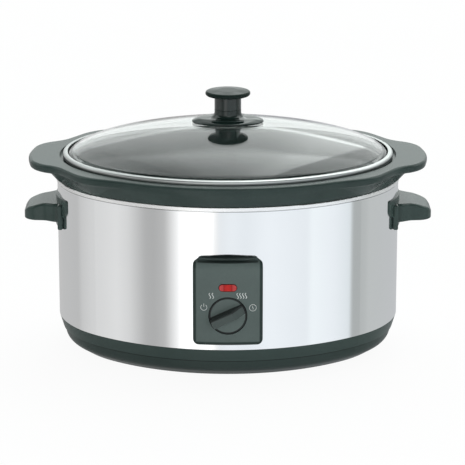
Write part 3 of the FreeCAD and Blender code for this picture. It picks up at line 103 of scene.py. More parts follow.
def place_on(tree):
    """Place of a point on the piece."""
    return tree.nodes.new("ShaderNodeTexCoord").outputs["Object"]


def axes_of(tree):
    """Place of a point on the piece, split into X, Y and Z."""
    split = tree.nodes.new("ShaderNodeSeparateXYZ")
    tree.links.new(place_on(tree), split.inputs[0])
    return split.outputs


def blank(name):
    """New node material; gives it with its tree and its shader."""
    material = bpy.data.materials.new(name)
    material.use_nodes = True
    tree = material.node_tree
    return material, tree, tree.nodes["Principled BSDF"]


def relief(tree, height, depth, strength):
    """Raises a material's surface by a height socket."""
    bump = tree.nodes.new("ShaderNodeBump")
    bump.inputs["Distance"].default_value = depth
    bump.inputs["Strength"].default_value = strength
    tree.links.new(height, bump.inputs["Height"])
    tree.links.new(bump.outputs["Normal"], tree.nodes["Principled BSDF"].inputs["Normal"])


def skinned(name, group, values, depth, strength):
    """Material whose colour, roughness and relief come from a skin group; gives it with its shader."""
    material, tree, shader = blank(name)
    effect = tree.nodes.new("ShaderNodeGroup")
    effect.node_tree = group
    for label, value in values.items():
        effect.inputs[label].default_value = value
    tree.links.new(effect.outputs["Colour"], shader.inputs["Base Color"])
    tree.links.new(effect.outputs["Roughness"], shader.inputs["Roughness"])
    relief(tree, effect.outputs["Height"], depth, strength)
    return material, shader


def mould_skin():
    """Drift, flow and spark-eroded grain of a moulded skin."""
    group = shader_group(
        "mould_skin",
        [("Tone", "NodeSocketColor", (0.02, 0.02, 0.02, 1)), ("Drift", "NodeSocketFloat", 0.2),
         ("Gloss", "NodeSocketFloat", 0.35), ("Grain", "NodeSocketFloat", 2200.0)],
        [("Colour", "NodeSocketColor"), ("Roughness", "NodeSocketFloat"), ("Height", "NodeSocketFloat")],
    )
    given = group.nodes.new("NodeGroupInput").outputs
    out = group.nodes.new("NodeGroupOutput").inputs
    place = place_on(group)
    cloud = math_node(group, "SUBTRACT", noise(group, place, 24, 4), 0.5)
    fine = math_node(group, "SUBTRACT", noise(group, place, 310, 3), 0.5)
    both = math_node(group, "MULTIPLY_ADD", fine, 0.6, cloud)
    swing = math_node(group, "MULTIPLY_ADD", both, given["Drift"], 1.0)
    group.links.new(scaled(group, given["Tone"], swing), out["Colour"])
    group.links.new(math_node(group, "MULTIPLY", given["Gloss"], swing), out["Roughness"])
    group.links.new(noise(group, place, given["Grain"]), out["Height"])
    return group


skin = mould_skin()


def moulding(name, tone, gloss, grain=2200.0, depth=0.00002, drift=0.2, mirror=0.3):
    """Plastic with the mould's grain; mirror is how strongly it reflects."""
    values = {"Tone": (*tone, 1), "Gloss": gloss, "Grain": grain, "Drift": drift}
    material, shader = skinned(name, skin, values, depth, 0.5)
    shader.inputs["Specular IOR Level"].default_value = mirror
    return material


def dress(material, *names):
    """Gives CAD nodes their finish."""
    for name in names:
        node[name].data.materials.clear()
        node[name].data.materials.append(material)


def height_of(tree, at):
    """Measure for shade_between: height over the floor."""
    return at["Z"]


def shade_between(material, measure, low, high, share):
    """Scales a material's colour where a measure of place lies between two values; a share under one paints
    shade and a share over one paints light.
    """
    tree = material.node_tree
    colour = tree.nodes["Principled BSDF"].inputs["Base Color"]
    value = measure(tree, axes_of(tree))
    over = math_node(tree, "SUBTRACT", value, low)
    under = math_node(tree, "SUBTRACT", high, value)
    rise = math_node(tree, "MULTIPLY_ADD", over, 1 / edge_width, 0.5, True)
    fall = math_node(tree, "MULTIPLY_ADD", under, 1 / edge_width, 0.5, True)
    kept = math_node(tree, "MULTIPLY_ADD", math_node(tree, "MULTIPLY", rise, fall), share - 1.0, 1.0)
    tree.links.new(scaled(tree, colour.links[0].from_socket, kept), colour)


tray_moulding = moulding("tray_moulding", (0.054, 0.079, 0.073), 0.34, mirror=0.15)
# Painted shade: the band below the step is darkened, and a fine dark line is painted along the step.
shade_between(tray_moulding, height_of, -past_all, tray_step, 0.8)
shade_between(tray_moulding, height_of, tray_step - tray_shade_line, tray_step, 0.35)
dress(tray_moulding, "base_tray")

# Feet: four soft rubber pads under the tray, each with a barbed stem pulled up through a hole in its floor.
# They are compression moulded, matt and slightly dusty.

foot_rubber = moulding("foot_rubber", (0.021, 0.022, 0.021), 0.72, grain=900.0, depth=0.00006, drift=0.5)
dress(foot_rubber, "rubber_feet")

# Fixings: the tray screws, pillars, bolts, nuts and washers that hold the housing and the knob together.
# They are cold-headed or turned steel, zinc plated, with faint turning lines and a patchy passivated bloom.


def sheet_skin():
    """Lines and bloom of a worked metal surface; Lines stretches the pattern along the work."""
    group = shader_group(
        "sheet_skin",
        [("Tone", "NodeSocketColor", (0.8, 0.8, 0.8, 1)), ("Shine", "NodeSocketFloat", 0.15),
         ("Bloom", "NodeSocketFloat", 0.2), ("Lines", "NodeSocketVector", (400.0, 400.0, 400.0))],
        [("Colour", "NodeSocketColor"), ("Roughness", "NodeSocketFloat"), ("Height", "NodeSocketFloat")],
    )
    given = group.nodes.new("NodeGroupInput").outputs
    out = group.nodes.new("NodeGroupOutput").inputs
    place = place_on(group)
    along = group.nodes.new("ShaderNodeVectorMath")
    along.operation = "MULTIPLY"
    group.links.new(place, along.inputs[0])
    group.links.new(given["Lines"], along.inputs[1])
    lines = noise(group, along.outputs[0], 1.0, 3)
    cloud = math_node(group, "SUBTRACT", noise(group, place, 18, 5), 0.5)
    mixed = math_node(group, "MULTIPLY_ADD", math_node(group, "SUBTRACT", lines, 0.5), 0.5, cloud)
    swing = math_node(group, "MULTIPLY_ADD", mixed, given["Bloom"], 1.0)
    dull = math_node(group, "MULTIPLY_ADD", mixed, math_node(group, "MULTIPLY", given["Bloom"], 3.0), 1.0)
    group.links.new(scaled(group, given["Tone"], swing), out["Colour"])
    group.links.new(math_node(group, "MULTIPLY", given["Shine"], dull), out["Roughness"])
    group.links.new(lines, out["Height"])
    return group


worked = sheet_skin()


def metal(name, tone, shine, lines, bloom=0.2, depth=0.00001):
    """Metal with the lines of its rolling, drawing or turning."""
    values = {"Tone": (*tone, 1), "Shine": shine, "Bloom": bloom, "Lines": lines}
    material, shader = skinned(name, worked, values, depth, 0.3)
    shader.inputs["Metallic"].default_value = 1
    return material


zinc_plate = metal("zinc_plate", (0.62, 0.63, 0.62), 0.28, (500, 500, 1800), 0.3)
dress(zinc_plate, "base_screws", "well_pillars", "panel_screws", "switch_nut", "switch_spindle", "fuse_clip")
dress(zinc_plate, "right_handle_screws", "left_handle_screws", "heater_bolts", "knob_washer", "knob_bolt")

# Heat shield: the flat oval plate between the well and the tray.
# It is pressed from aluminised sheet, dull, with the rolling lines running along it.

shield_sheet = metal("shield_sheet", (0.55, 0.55, 0.54), 0.42, (8, 900, 900), 0.3)
dress(shield_sheet, "heat_shield")

# Heating well: the oval pan that the crock hangs in, with the bright rolled bead over the shell's edge.
# It is deep drawn from aluminium sheet and left satin, so its wall carries faint upright draw lines.

well_sheet = metal("well_sheet", (0.97, 0.97, 0.965), 0.36, (700, 700, 12), 0.06)
well_sheet.node_tree.nodes["Principled BSDF"].inputs["Metallic"].default_value = 0.9
dress(well_sheet, "heating_well")

# Heater and its parts: a foil-faced band bolted round the well, a snap thermostat, a fuse and a wiring block.
# The band is tinned foil over mica, the thermostat and block are pale phenolic and the fuse is a glazed tube.
# The plates behind the handles have the same foil-like finish as the band.

heater_foil = metal("heater_foil", (0.5, 0.49, 0.47), 0.38, (60, 60, 700), 0.4, 0.00004)
dress(heater_foil, "heater_band", "right_handle_backplate", "left_handle_backplate")
wiring_phenolic = moulding("wiring_phenolic", (0.5, 0.47, 0.4), 0.45, drift=0.3)
dress(wiring_phenolic, "terminal_block", "thermostat", "switch_body")
fuse_glaze = moulding("fuse_glaze", (0.55, 0.5, 0.42), 0.2, grain=600.0, drift=0.3)
dress(fuse_glaze, "thermal_fuse")

# Outer shell: the tall polished wall between the tray and the bead.
# It is stainless sheet rolled into the oval and buffed bright, with only a trace of its rolling lines left.
# A fine line of painted shade lies just under the bead.

bead_shade_low, bead_shade_high = 0.1801, 0.1813
shell_steel = metal("shell_steel", (0.93, 0.94, 0.945), 0.085, (5, 5, 650), 0.03, 0.0000015)
# Painted shade: a fine dark line just under the bead.
shade_between(shell_steel, height_of, bead_shade_low, bead_shade_high, 0.5)
dress(shell_steel, "outer_shell")

# Side handles: a grip on each end of the shell, on a waisted leg with wings that follow the wall.
# Each is a semi-gloss moulding screwed through the shell into a plate behind it.
# The posts are the upright blocks of the same plastic where a grip's ends meet the shell.

handle_moulding = moulding("handle_moulding", (0.040, 0.064, 0.058), 0.26, mirror=0.28)
dress(handle_moulding, "right_handle", "left_handle")
post_out, post_height = 0.1754, 0.1476
post_places = (-0.0300, 0.0486)
post_size, post_round = (0.0052, 0.0120, 0.0262), 0.0016


def handle_posts(name, side):
    """The two upright posts of one handle, one ahead and one behind."""
    posts = []
    for along in post_places:
        bpy.ops.mesh.primitive_cube_add(size=1, location=(side * post_out, along, post_height))
        post = bpy.context.object
        post.scale = post_size
        bpy.ops.object.transform_apply(location=True, rotation=True, scale=True)
        bpy.ops.object.mode_set(mode="EDIT")
        bpy.ops.mesh.select_all(action="SELECT")
        bpy.ops.mesh.bevel(offset=post_round, segments=4, profile=0.5, affect="EDGES")
        bpy.ops.object.mode_set(mode="OBJECT")
        bpy.ops.object.shade_smooth()
        posts.append(post)
    bpy.ops.object.select_all(action="DESELECT")
    for post in posts:
        post.select_set(True)
    bpy.context.view_layer.objects.active = posts[0]
    bpy.ops.object.join()
    pair = bpy.context.object
    pair.name = name
    bpy.ops.object.select_all(action="DESELECT")
    pair.data.materials.append(handle_moulding)
    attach(pair, "housing")


handle_posts("right_handle_posts", 1)
handle_posts("left_handle_posts", -1)

# Control panel: the bowed front moulding with a satin face, a band of painted shade round its rounded edges,
# and the dial's seat.
# Its face is textured in the mould and has a soft sheen; its top edge is matt and carries the darkest painted
# shade.
# Screws hold it from inside the shell.

panel_low, panel_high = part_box("control_panel")
edge_shade_side, edge_shade_foot, edge_shade_head, edge_shade_blur = 0.0032, 0.0042, 0.0012, 0.0012
edge_shade_tone = (0.034, 0.050, 0.046)
top_shade_depth, sheen_top, sheen_fade = 0.0016, 0.0058, 0.0025


def mix_tones(tree, share, first, second, way="MIX"):
    """Mix of two colours, as numbers or sockets; gives its result."""
    made = tree.nodes.new("ShaderNodeMix")
    made.data_type = "RGBA"
    made.blend_type = way
    for socket, value in (("Factor", share), ("A", first), ("B", second)):
        if isinstance(value, (int, float)):
            made.inputs[socket].default_value = value
        elif isinstance(value, tuple):
            made.inputs[socket].default_value = (*value, 1)
        else:
            tree.links.new(value, made.inputs[socket])
    return made.outputs["Result"]


def polish_below(material, height, weight, blur, fade):
    """Clear gloss on a material under a height; it fades in over a distance below it."""
    tree = material.node_tree
    shader = tree.nodes["Principled BSDF"]
    depth = math_node(tree, "SUBTRACT", height, axes_of(tree)["Z"])
    gloss = math_node(tree, "MULTIPLY_ADD", depth, 1.0 / fade, 0.0, True)
    tree.links.new(math_node(tree, "MULTIPLY", gloss, weight), shader.inputs["Coat Weight"])
    shader.inputs["Coat Roughness"].default_value = blur


panel_satin = moulding(
    "panel_satin", (0.126, 0.157, 0.150), 0.44, grain=1500.0, depth=0.00003, mirror=0.0)
tree = panel_satin.node_tree
face_tone = tree.nodes["Principled BSDF"].inputs["Base Color"]
face_rough = tree.nodes["Principled BSDF"].inputs["Roughness"]
at = axes_of(tree)
# Painted shade: a dark band round the panel's rounded sides, foot and top is mixed into the face colour there,
# and its roughness is raised a little.
aside = math_node(tree, "SUBTRACT", math_node(tree, "ABSOLUTE", at["X"]), panel_high.x - edge_shade_side)
below = math_node(tree, "SUBTRACT", panel_low.z + edge_shade_foot, at["Z"])
above = math_node(tree, "SUBTRACT", at["Z"], panel_high.z - edge_shade_head)
outside = math_node(tree, "MAXIMUM", math_node(tree, "MAXIMUM", aside, below), above)
on_shaded_edge = math_node(tree, "MULTIPLY_ADD", outside, 1 / edge_shade_blur, 0.5, True)
duller = math_node(tree, "MULTIPLY_ADD", on_shaded_edge, 0.1, 1.0)
tree.links.new(mix_tones(tree, on_shaded_edge, face_tone.links[0].from_socket, edge_shade_tone), face_tone)
tree.links.new(math_node(tree, "MULTIPLY", face_rough.links[0].from_socket, duller), face_rough)
# Painted shade darkens the panel's top edge further.
shade_between(panel_satin, height_of, panel_high.z - top_shade_depth, past_all, 0.45)
polish_below(panel_satin, panel_high.z - sheen_top, 0.25, 0.42, sheen_fade)
dress(panel_satin, "control_panel")

# Panel marks: off, two low heat waves, four high heat waves and a round keep-warm mark about the dial.
# They are pad printed in white ink, a little proud of the satin face that they follow.

dial_low, dial_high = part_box("control_dial")
dial_z = (dial_low.z + dial_high.z) / 2
face_bow = 0.2264
ink_flat, ink_sink = 0.28, 0.00004
print_ink = moulding("print_ink", (0.94, 0.95, 0.945), 0.5, grain=1800.0, drift=0.05)
printed = []


def print_line(curve, at, line):
    """Turns a flat curve drawn about the origin into a printed line on the bowed face."""
    curve.data.dimensions = "3D"
    curve.data.bevel_depth = line
    curve.data.bevel_resolution = 1
    bpy.ops.object.select_all(action="DESELECT")
    curve.select_set(True)
    bpy.context.view_layer.objects.active = curve
    bpy.ops.object.convert(target="MESH")
    bpy.ops.object.transform_apply(location=True, rotation=True, scale=True)
    for corner in curve.data.vertices:
        x, height, proud = corner.co.x + at[0], corner.co.y, corner.co.z
        drop = face_bow - math.sqrt(face_bow ** 2 - x ** 2)
        corner.co = (x, panel_low.y + drop - ink_flat * proud + ink_sink, dial_z + at[1] + height)
    printed.append(curve)


def heat_wave(at, size=1.0, line=0.00036):
    """One upright wavy line, as by a pen."""
    bpy.ops.curve.primitive_bezier_curve_add()
    wave = bpy.context.object
    head, foot = wave.data.splines[0].bezier_points
    for point, place, back, ahead in (
        (head, (0.0002, 0.0028), (0.0009, 0.0031), (-0.0032, 0.0012)),
        (foot, (-0.0002, -0.0028), (0.0032, -0.0012), (-0.0009, -0.0031)),
    ):
        point.handle_left_type = "FREE"
        point.handle_right_type = "FREE"
        point.co = (place[0] * size, place[1] * size, 0)
        point.handle_left = (back[0] * size, back[1] * size, 0)
        point.handle_right = (ahead[0] * size, ahead[1] * size, 0)
    print_line(wave, at, line)


wave_rise = 0.0211
for first, pitch, count in ((-0.0181, 0.0030, 2), (0.0099, 0.00275, 4)):
    for step in range(count):
        heat_wave((first + pitch * step, wave_rise))

off_place, off_line = (-0.0242, 0.0088), 0.00027
off_radius, off_gap, off_stroke = 0.0031, 0.0026, (0.0004, 0.0040)
bpy.ops.mesh.primitive_circle_add(vertices=48, radius=off_radius)
ring = bpy.context.object
bpy.ops.object.mode_set(mode="EDIT")
bpy.ops.mesh.select_all(action="DESELECT")
bpy.ops.object.mode_set(mode="OBJECT")
for corner in ring.data.vertices:
    corner.select = corner.co.y > off_gap
bpy.ops.object.mode_set(mode="EDIT")
bpy.ops.mesh.delete(type="VERT")
bpy.ops.object.mode_set(mode="OBJECT")
bpy.ops.object.convert(target="CURVE")
print_line(bpy.context.object, off_place, off_line)
bpy.ops.curve.primitive_bezier_curve_add()
stroke = bpy.context.object
for point, height in zip(stroke.data.splines[0].bezier_points, off_stroke):
    point.handle_left_type = "VECTOR"
    point.handle_right_type = "VECTOR"
    point.co = (0, height, 0)
print_line(stroke, off_place, off_line)

warm_place, warm_line = (0.0252, 0.0083), 0.00025
warm_radius, warm_wave = 0.0034, 0.55
bpy.ops.curve.primitive_bezier_circle_add(radius=warm_radius)
print_line(bpy.context.object, warm_place, warm_line)
heat_wave(warm_place, warm_wave, warm_line)

bpy.ops.object.select_all(action="DESELECT")
for line in printed:
    line.select_set(True)
bpy.context.view_layer.objects.active = printed[0]
bpy.ops.object.join()
marks = bpy.context.object
marks.name = "panel_marks"
bpy.ops.object.mode_set(mode="EDIT")
bpy.ops.mesh.select_all(action="SELECT")
bpy.ops.mesh.normals_make_consistent(inside=False)
bpy.ops.object.mode_set(mode="OBJECT")
marks.data.materials.clear()
marks.data.materials.append(print_ink)
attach(marks, "housing")
bpy.ops.object.select_all(action="DESELECT")

# Pilot lens and lamp: a long red window above the dial with a neon lamp behind it.
# The lens is moulded in clear red acrylic; painted highlights make it paler towards both ends, with a darker
# band between them and the middle, and painted shade darkens its edge.
# The lamp is a small glass tube.

lens_low, lens_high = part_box("pilot_lens")
lens_z = (lens_low.z + lens_high.z) / 2
lens_axis, lens_shade_edge = 0.00535, 0.0033


def tone_ramp(tree, value, stops):
    """Ramp over a value between 0 and 1, with a grey level or a colour at each stop; gives its colour."""
    ramp = tree.nodes.new("ShaderNodeValToRGB")
    tree.links.new(value, ramp.inputs["Fac"])
    elements = ramp.color_ramp.elements
    elements[0].position = stops[0][0]
    elements[1].position = stops[-1][0]
    for stop in stops[1:-1]:
        elements.new(stop[0])
    for element, (_, *level) in zip(elements, stops):
        element.color = (*(level if len(level) == 3 else level * 3), 1)
    return ramp.outputs["Color"]


def length_of(tree, over, up):
    """Length of a slanted line from its two legs."""
    square = math_node(tree, "MULTIPLY_ADD", up, up, math_node(tree, "MULTIPLY", over, over))
    return math_node(tree, "SQRT", square)


def from_lens(tree, at):
    """Measure for shade_between: distance from the lens's long axis."""
    past = math_node(tree, "SUBTRACT", math_node(tree, "ABSOLUTE", at["X"]), lens_axis)
    return length_of(tree, math_node(tree, "MAXIMUM", past, 0.0), math_node(tree, "SUBTRACT", at["Z"], lens_z))


lens_acrylic, tree, shader = blank("lens_acrylic")
ripple = math_node(tree, "SUBTRACT", noise(tree, place_on(tree), 700, 3), 0.5)
# Painted highlights: the ramp across the lens makes it paler towards both ends, with a darker band between
# them and the middle.
aside = math_node(tree, "ABSOLUTE", math_node(tree, "DIVIDE", axes_of(tree)["X"], lens_high.x))
red = tone_ramp(tree, math_node(tree, "MULTIPLY_ADD", ripple, 0.1, aside), (
    (0.0, 0.64, 0.016, 0.010), (0.26, 0.55, 0.008, 0.006), (0.36, 0.36, 0.004, 0.003),
    (0.43, 0.56, 0.045, 0.045), (0.70, 0.62, 0.062, 0.060), (1.0, 0.62, 0.030, 0.030),
))
tree.links.new(red, shader.inputs["Base Color"])
tree.links.new(math_node(tree, "MULTIPLY_ADD", ripple, 0.06, 0.14), shader.inputs["Roughness"])
relief(tree, ripple, 0.00001, 0.2)
shader.inputs["Specular IOR Level"].default_value = 0.3
# Painted shade darkens the lens along its edge.
shade_between(lens_acrylic, from_lens, lens_shade_edge, past_all, 0.22)
dress(lens_acrylic, "pilot_lens")
lamp_glass = moulding("lamp_glass", (0.62, 0.3, 0.16), 0.12, grain=500.0, drift=0.3)
dress(lamp_glass, "pilot_lamp")

# Dial: the round knob with a finger bar across it, on the spindle of the switch behind the panel.
# It is moulded with the panel's satin face and pushed onto the flat of the spindle; painted shade darkens its
# edge, and its finger bar has painted shade on its face and upper flank and a painted highlight along its
# lower edge.
# The panel's seat round it is darkened with painted shade.

dial_shade_edge, seat_shade_edge = 0.0174, 0.0196
bar_aside, bar_up = -0.41, 0.912
bar_foot, bar_foot_top, bar_head, bar_flank_top = -0.0058, -0.0046, 0.0030, 0.0056


def from_dial(tree, at):
    """Measure for shade_between: distance from the dial's axis."""
    return length_of(tree, at["X"], math_node(tree, "SUBTRACT", at["Z"], dial_z))


def off_bar(tree, at):
    """Measure for shade_between: distance across the finger bar, up to the left."""
    up = math_node(tree, "SUBTRACT", at["Z"], dial_z)
    return math_node(tree, "MULTIPLY_ADD", at["X"], bar_aside, math_node(tree, "MULTIPLY", up, bar_up))


dial_satin = moulding("dial_satin", (0.116, 0.148, 0.140), 0.34, grain=1500.0, depth=0.00003)
# Painted shade darkens the dial's edge.
shade_between(dial_satin, from_dial, dial_shade_edge, past_all, 0.12)
# On the finger bar, painted shade darkens its face and more its upper flank, and a painted highlight lightens
# its lower edge.
shade_between(dial_satin, off_bar, bar_foot, bar_head, 0.62)
shade_between(dial_satin, off_bar, bar_head, bar_flank_top, 0.15)
shade_between(dial_satin, off_bar, bar_foot, bar_foot_top, 2.2)
# Painted shade darkens the panel in the dial's seat, round the dial.
shade_between(panel_satin, from_dial, 0.0, seat_shade_edge, 0.12)
dress(dial_satin, "control_dial")

# Cord gland: the round grommet and nut low on the back of the shell, open for a lead.
# Both are nylon mouldings; the nut clamps the gland from inside the shell.

gland_nylon = moulding("gland_nylon", (0.018, 0.027, 0.025), 0.42)
dress(gland_nylon, "cord_gland", "gland_nut")

# Crock: the lift-out stoneware pot with its thick rim and two ears.
# It is slip cast and fired with a dark gloss glaze that pools and flecks a little, and its foot is wiped bare.

foot_height, foot_slope = 0.0035, 1500.0
bare_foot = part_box("crock")[0].z + foot_height
glaze_tone, biscuit_tone = (0.032, 0.051, 0.047), (0.46, 0.38, 0.28)
glaze, tree, shader = blank("crock_glaze")
shader.inputs["Specular IOR Level"].default_value = 0.25
place = place_on(tree)
pool = math_node(tree, "SUBTRACT", noise(tree, place, 30, 4), 0.5)
fleck = math_node(tree, "MULTIPLY_ADD", noise(tree, place, 900, 2), 0.5, 0.75)
fired = scaled(tree, glaze_tone, math_node(tree, "MULTIPLY_ADD", pool, 0.5, fleck))
depth = math_node(tree, "SUBTRACT", bare_foot, axes_of(tree)["Z"])
wiped = math_node(tree, "MULTIPLY_ADD", depth, foot_slope, 0.5, True)
tree.links.new(mix_tones(tree, wiped, fired, biscuit_tone), shader.inputs["Base Color"])
gloss = math_node(tree, "MULTIPLY_ADD", pool, 0.05, 0.26)
tree.links.new(math_node(tree, "MULTIPLY_ADD", wiped, 0.6, gloss), shader.inputs["Roughness"])
relief(tree, noise(tree, place, 22, 0), 0.00003, 0.05)
dress(glaze, "crock")

# Lid: a shallow oval glass dome, fullest towards its edge, held in a rolled steel band.
# The glass is pressed and tempered, faintly green; the band is stainless, polished and crimped over its edge.

lid_low, lid_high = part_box("lid_glass")
rim_low, rim_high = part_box("lid_rim")
middle = (lid_low.y + lid_high.y) / 2
end_centre, end_radius = 0.0555, 0.1245
side_centre, side_radius = 0.06488, 0.20988
dome_inset, dome_drop, dome_fullness = 0.0124, 0.0319, 0.0075
glass_wall, bolt_hole = 0.004, 0.004
edge_inset, lip_inset, foot_inset = 0.0069, 0.0116, 0.0168
length_radius = ((end_centre + end_radius - dome_inset) ** 2 + dome_drop ** 2) / (2 * dome_drop)
width_radius = ((side_radius - side_centre - dome_inset) ** 2 + dome_drop ** 2) / (2 * dome_drop)
lid_turns, lid_rings, ring_step = 240, 25, 0.04

lid_clear, tree, shader = blank("lid_clear")
shader.inputs["Transmission Weight"].default_value = 1
shader.inputs["IOR"].default_value = 1.5
film = math_node(tree, "SUBTRACT", noise(tree, place_on(tree), 26, 3), 0.5)
tint = mix_tones(tree, math_node(tree, "ADD", film, 0.5), (0.95, 0.985, 0.975), (0.98, 0.995, 0.99))
tree.links.new(tint, shader.inputs["Base Color"])
tree.links.new(math_node(tree, "MULTIPLY_ADD", film, 0.01, 0.008), shader.inputs["Roughness"])
clear = tree.nodes.new("ShaderNodeBsdfTransparent")
clear.inputs["Color"].default_value = (0.86, 0.89, 0.88, 1)
ray = tree.nodes.new("ShaderNodeLightPath")
pass_light = tree.nodes.new("ShaderNodeMixShader")
tree.links.new(ray.outputs["Is Shadow Ray"], pass_light.inputs["Fac"])
tree.links.new(shader.outputs["BSDF"], pass_light.inputs[1])
tree.links.new(clear.outputs["BSDF"], pass_light.inputs[2])
tree.links.new(pass_light.outputs["Shader"], tree.nodes["Material Output"].inputs["Surface"])


def oval_point(step, inset):
    """Point of the lid's four-arc oval, drawn in by inset."""
    turn = 2 * math.pi * (step + 0.5) / lid_turns - math.pi
    over, up = math.cos(turn), math.sin(turn)
    if abs(over) * side_centre > abs(up) * end_centre:
        start, reach = (math.copysign(end_centre, over), 0.0), end_radius - inset
    else:
        start, reach = (0.0, -math.copysign(side_centre, up)), side_radius - inset
    return start[0] + reach * over, start[1] + reach * up


def crown(x, y, wall=0.0):
    """Height of the dome, bent more across than along; wall is the depth below its outer face."""
    across = width_radius - wall
    ridge = lid_high.z - wall - (across - math.sqrt(across ** 2 - y ** 2))
    axis = lid_high.z - length_radius
    return axis + math.sqrt((ridge - axis) ** 2 - x ** 2)


def skin_loops(name, loops):
    """Closed skin through loops of points round the lid, each extruded from the last and the ends bridged."""
    bpy.ops.object.select_all(action="DESELECT")
    bpy.ops.mesh.primitive_circle_add(vertices=lid_turns, radius=1)
    piece = bpy.context.object
    piece.name = name
    for number, loop in enumerate(loops):
        if number:
            bpy.ops.object.mode_set(mode="EDIT")
            bpy.ops.mesh.extrude_region()
            bpy.ops.object.mode_set(mode="OBJECT")
            around = [(math.atan2(corner.co.y - middle, corner.co.x), corner.index)
                      for corner in piece.data.vertices if corner.select]
        else:
            around = [(math.atan2(corner.co.y, corner.co.x) % (2 * math.pi), corner.index)
                      for corner in piece.data.vertices]
        for (_, index), (x, y, z) in zip(sorted(around), loop):
            piece.data.vertices[index].co = (x, y + middle, z)
    bpy.ops.object.mode_set(mode="EDIT")
    bpy.ops.mesh.select_mode(type="EDGE")
    bpy.ops.mesh.select_all(action="DESELECT")
    bpy.ops.mesh.select_non_manifold()
    bpy.ops.mesh.bridge_edge_loops()
    bpy.ops.mesh.select_mode(type="VERT")
    bpy.ops.mesh.select_all(action="SELECT")
    bpy.ops.mesh.normals_make_consistent(inside=False)
    bpy.ops.object.mode_set(mode="OBJECT")
    bpy.ops.object.shade_smooth_by_angle(angle=math.radians(35))
    return piece


def level_loop(inset, height):
    """Loop of the oval at one height."""
    return [(*oval_point(step, inset), height) for step in range(lid_turns)]


def dome_loop(share, wall):
    """Loop on the dome: the oval at the dome's foot scaled by share."""
    points = [oval_point(step, dome_inset) for step in range(lid_turns)]
    full = dome_fullness * (share ** 4 - share ** 12)
    return [(x * share, y * share, crown(x * share, y * share, wall) + full) for x, y in points]


def hole_loop(wall):
    """Loop round the knob bolt's hole."""
    loop = []
    for x, y in (oval_point(step, 0.0) for step in range(lid_turns)):
        far = math.hypot(x, y)
        loop.append((bolt_hole * x / far, bolt_hole * y / far, lid_high.z - wall))
    return loop


shares = [1.0 - ring_step * step for step in range(lid_rings)]
edge_top = lid_low.z + glass_wall
outer = [level_loop(edge_inset, lid_low.z), level_loop(edge_inset, edge_top), level_loop(lip_inset, edge_top)]
outer += [dome_loop(share, 0.0) for share in shares] + [hole_loop(0.0)]
inner = [hole_loop(glass_wall)] + [dome_loop(share, glass_wall) for share in reversed(shares[1:])]
inner += [level_loop(foot_inset, lid_low.z)]
lid_dome = skin_loops("lid_dome", outer + inner)
lid_dome.data.materials.append(lid_clear)
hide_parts("lid_glass")
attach(lid_dome, "lid")

band_steel = metal("band_steel", (0.52, 0.535, 0.53), 0.36, (4, 4, 900), 0.05, 0.0000015)
rim_inset, rim_width, rim_round, rim_sheet = 0.0062, 0.005, 0.0024, 0.0006
lip_end, corner_in, bore = rim_inset + rim_width, rim_inset + rim_round, rim_round - rim_sheet
bends = [math.radians(angle) for angle in (0, 18, 36, 54, 72, 90)]
low_bend, high_bend = rim_low.z + rim_round, rim_high.z - rim_round


def low_corner(radius):
    """The band's lower bend, from its flat underside up to its wall."""
    return [(corner_in - radius * math.sin(a), low_bend - radius * math.cos(a)) for a in bends]


def high_corner(radius):
    """The band's upper bend, from its wall over to its flat top."""
    return [(corner_in - radius * math.cos(a), high_bend + radius * math.sin(a)) for a in bends]


section = [(lip_end, rim_low.z)] + low_corner(rim_round) + high_corner(rim_round)
section += [(lip_end, rim_high.z), (lip_end, rim_high.z - rim_sheet)]
section += high_corner(bore)[::-1] + low_corner(bore)[::-1] + [(lip_end, rim_low.z + rim_sheet)]
lid_band = skin_loops("lid_band", [level_loop(inset, height) for inset, height in section])
lid_band.data.materials.append(band_steel)
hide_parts("lid_rim")
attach(lid_band, "lid")
bpy.ops.object.select_all(action="DESELECT")

# Lid knob: an oval skirt, a waisted neck and a round cap on a bolt through the glass.
# Skirt and cap are high-gloss phenolic with a brass insert; clear silicone seals lie against the glass.
# The top of the cap is dulled by use, and the gloss is left on its rim and neck.

cap_rim, cap_fade = 0.0035, 0.00125
knob_gloss = moulding("knob_gloss", (0.012, 0.024, 0.021), 0.1, 900.0, 0.000004, 0.15, 0.5)
dress(knob_gloss, "knob_skirt")
cap_gloss = moulding("cap_gloss", (0.014, 0.025, 0.022), 0.12, 900.0, 0.000004, 0.15, 0.06)
polish_below(cap_gloss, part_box("knob_cap")[1].z - cap_rim, 1.0, 0.06, cap_fade)
dress(cap_gloss, "knob_cap")
insert_brass = metal("insert_brass", (0.72, 0.53, 0.24), 0.25, (600, 600, 1500), 0.2)
dress(insert_brass, "knob_insert")
seal_silicone = moulding("seal_silicone", (0.6, 0.6, 0.57), 0.5, grain=1200.0, drift=0.15)
dress(seal_silicone, "knob_gasket", "knob_seal")

# Studio: a pale paper floor, a soft light tent that the polished steel shows, and the camera.
# Round the object the tent goes from white to pale grey. Its roof is bright from behind to overhead and
# dark ahead of that; the camera, and the glass it looks through, see plain white.

bpy.ops.mesh.primitive_plane_add(size=12, location=(0, 0, 0))
floor = bpy.context.object
floor.name = "studio_floor"
paper, tree, shader = blank("floor_paper")
shader.inputs["Base Color"].default_value = (0.9, 0.9, 0.9, 1)
shader.inputs["Roughness"].default_value = 0.9
glow = tree.nodes.new("ShaderNodeEmission")
glow.inputs["Color"].default_value = (1, 1, 1, 1)
mix = tree.nodes.new("ShaderNodeMixShader")
ray = tree.nodes.new("ShaderNodeLightPath")
tree.links.new(math_node(tree, "MULTIPLY", ray.outputs["Is Camera Ray"], 0.94), mix.inputs["Fac"])
tree.links.new(shader.outputs["BSDF"], mix.inputs[1])
tree.links.new(glow.outputs["Emission"], mix.inputs[2])
tree.links.new(mix.outputs["Shader"], tree.nodes["Material Output"].inputs["Surface"])
floor.data.materials.append(paper)
floor.visible_glossy = False

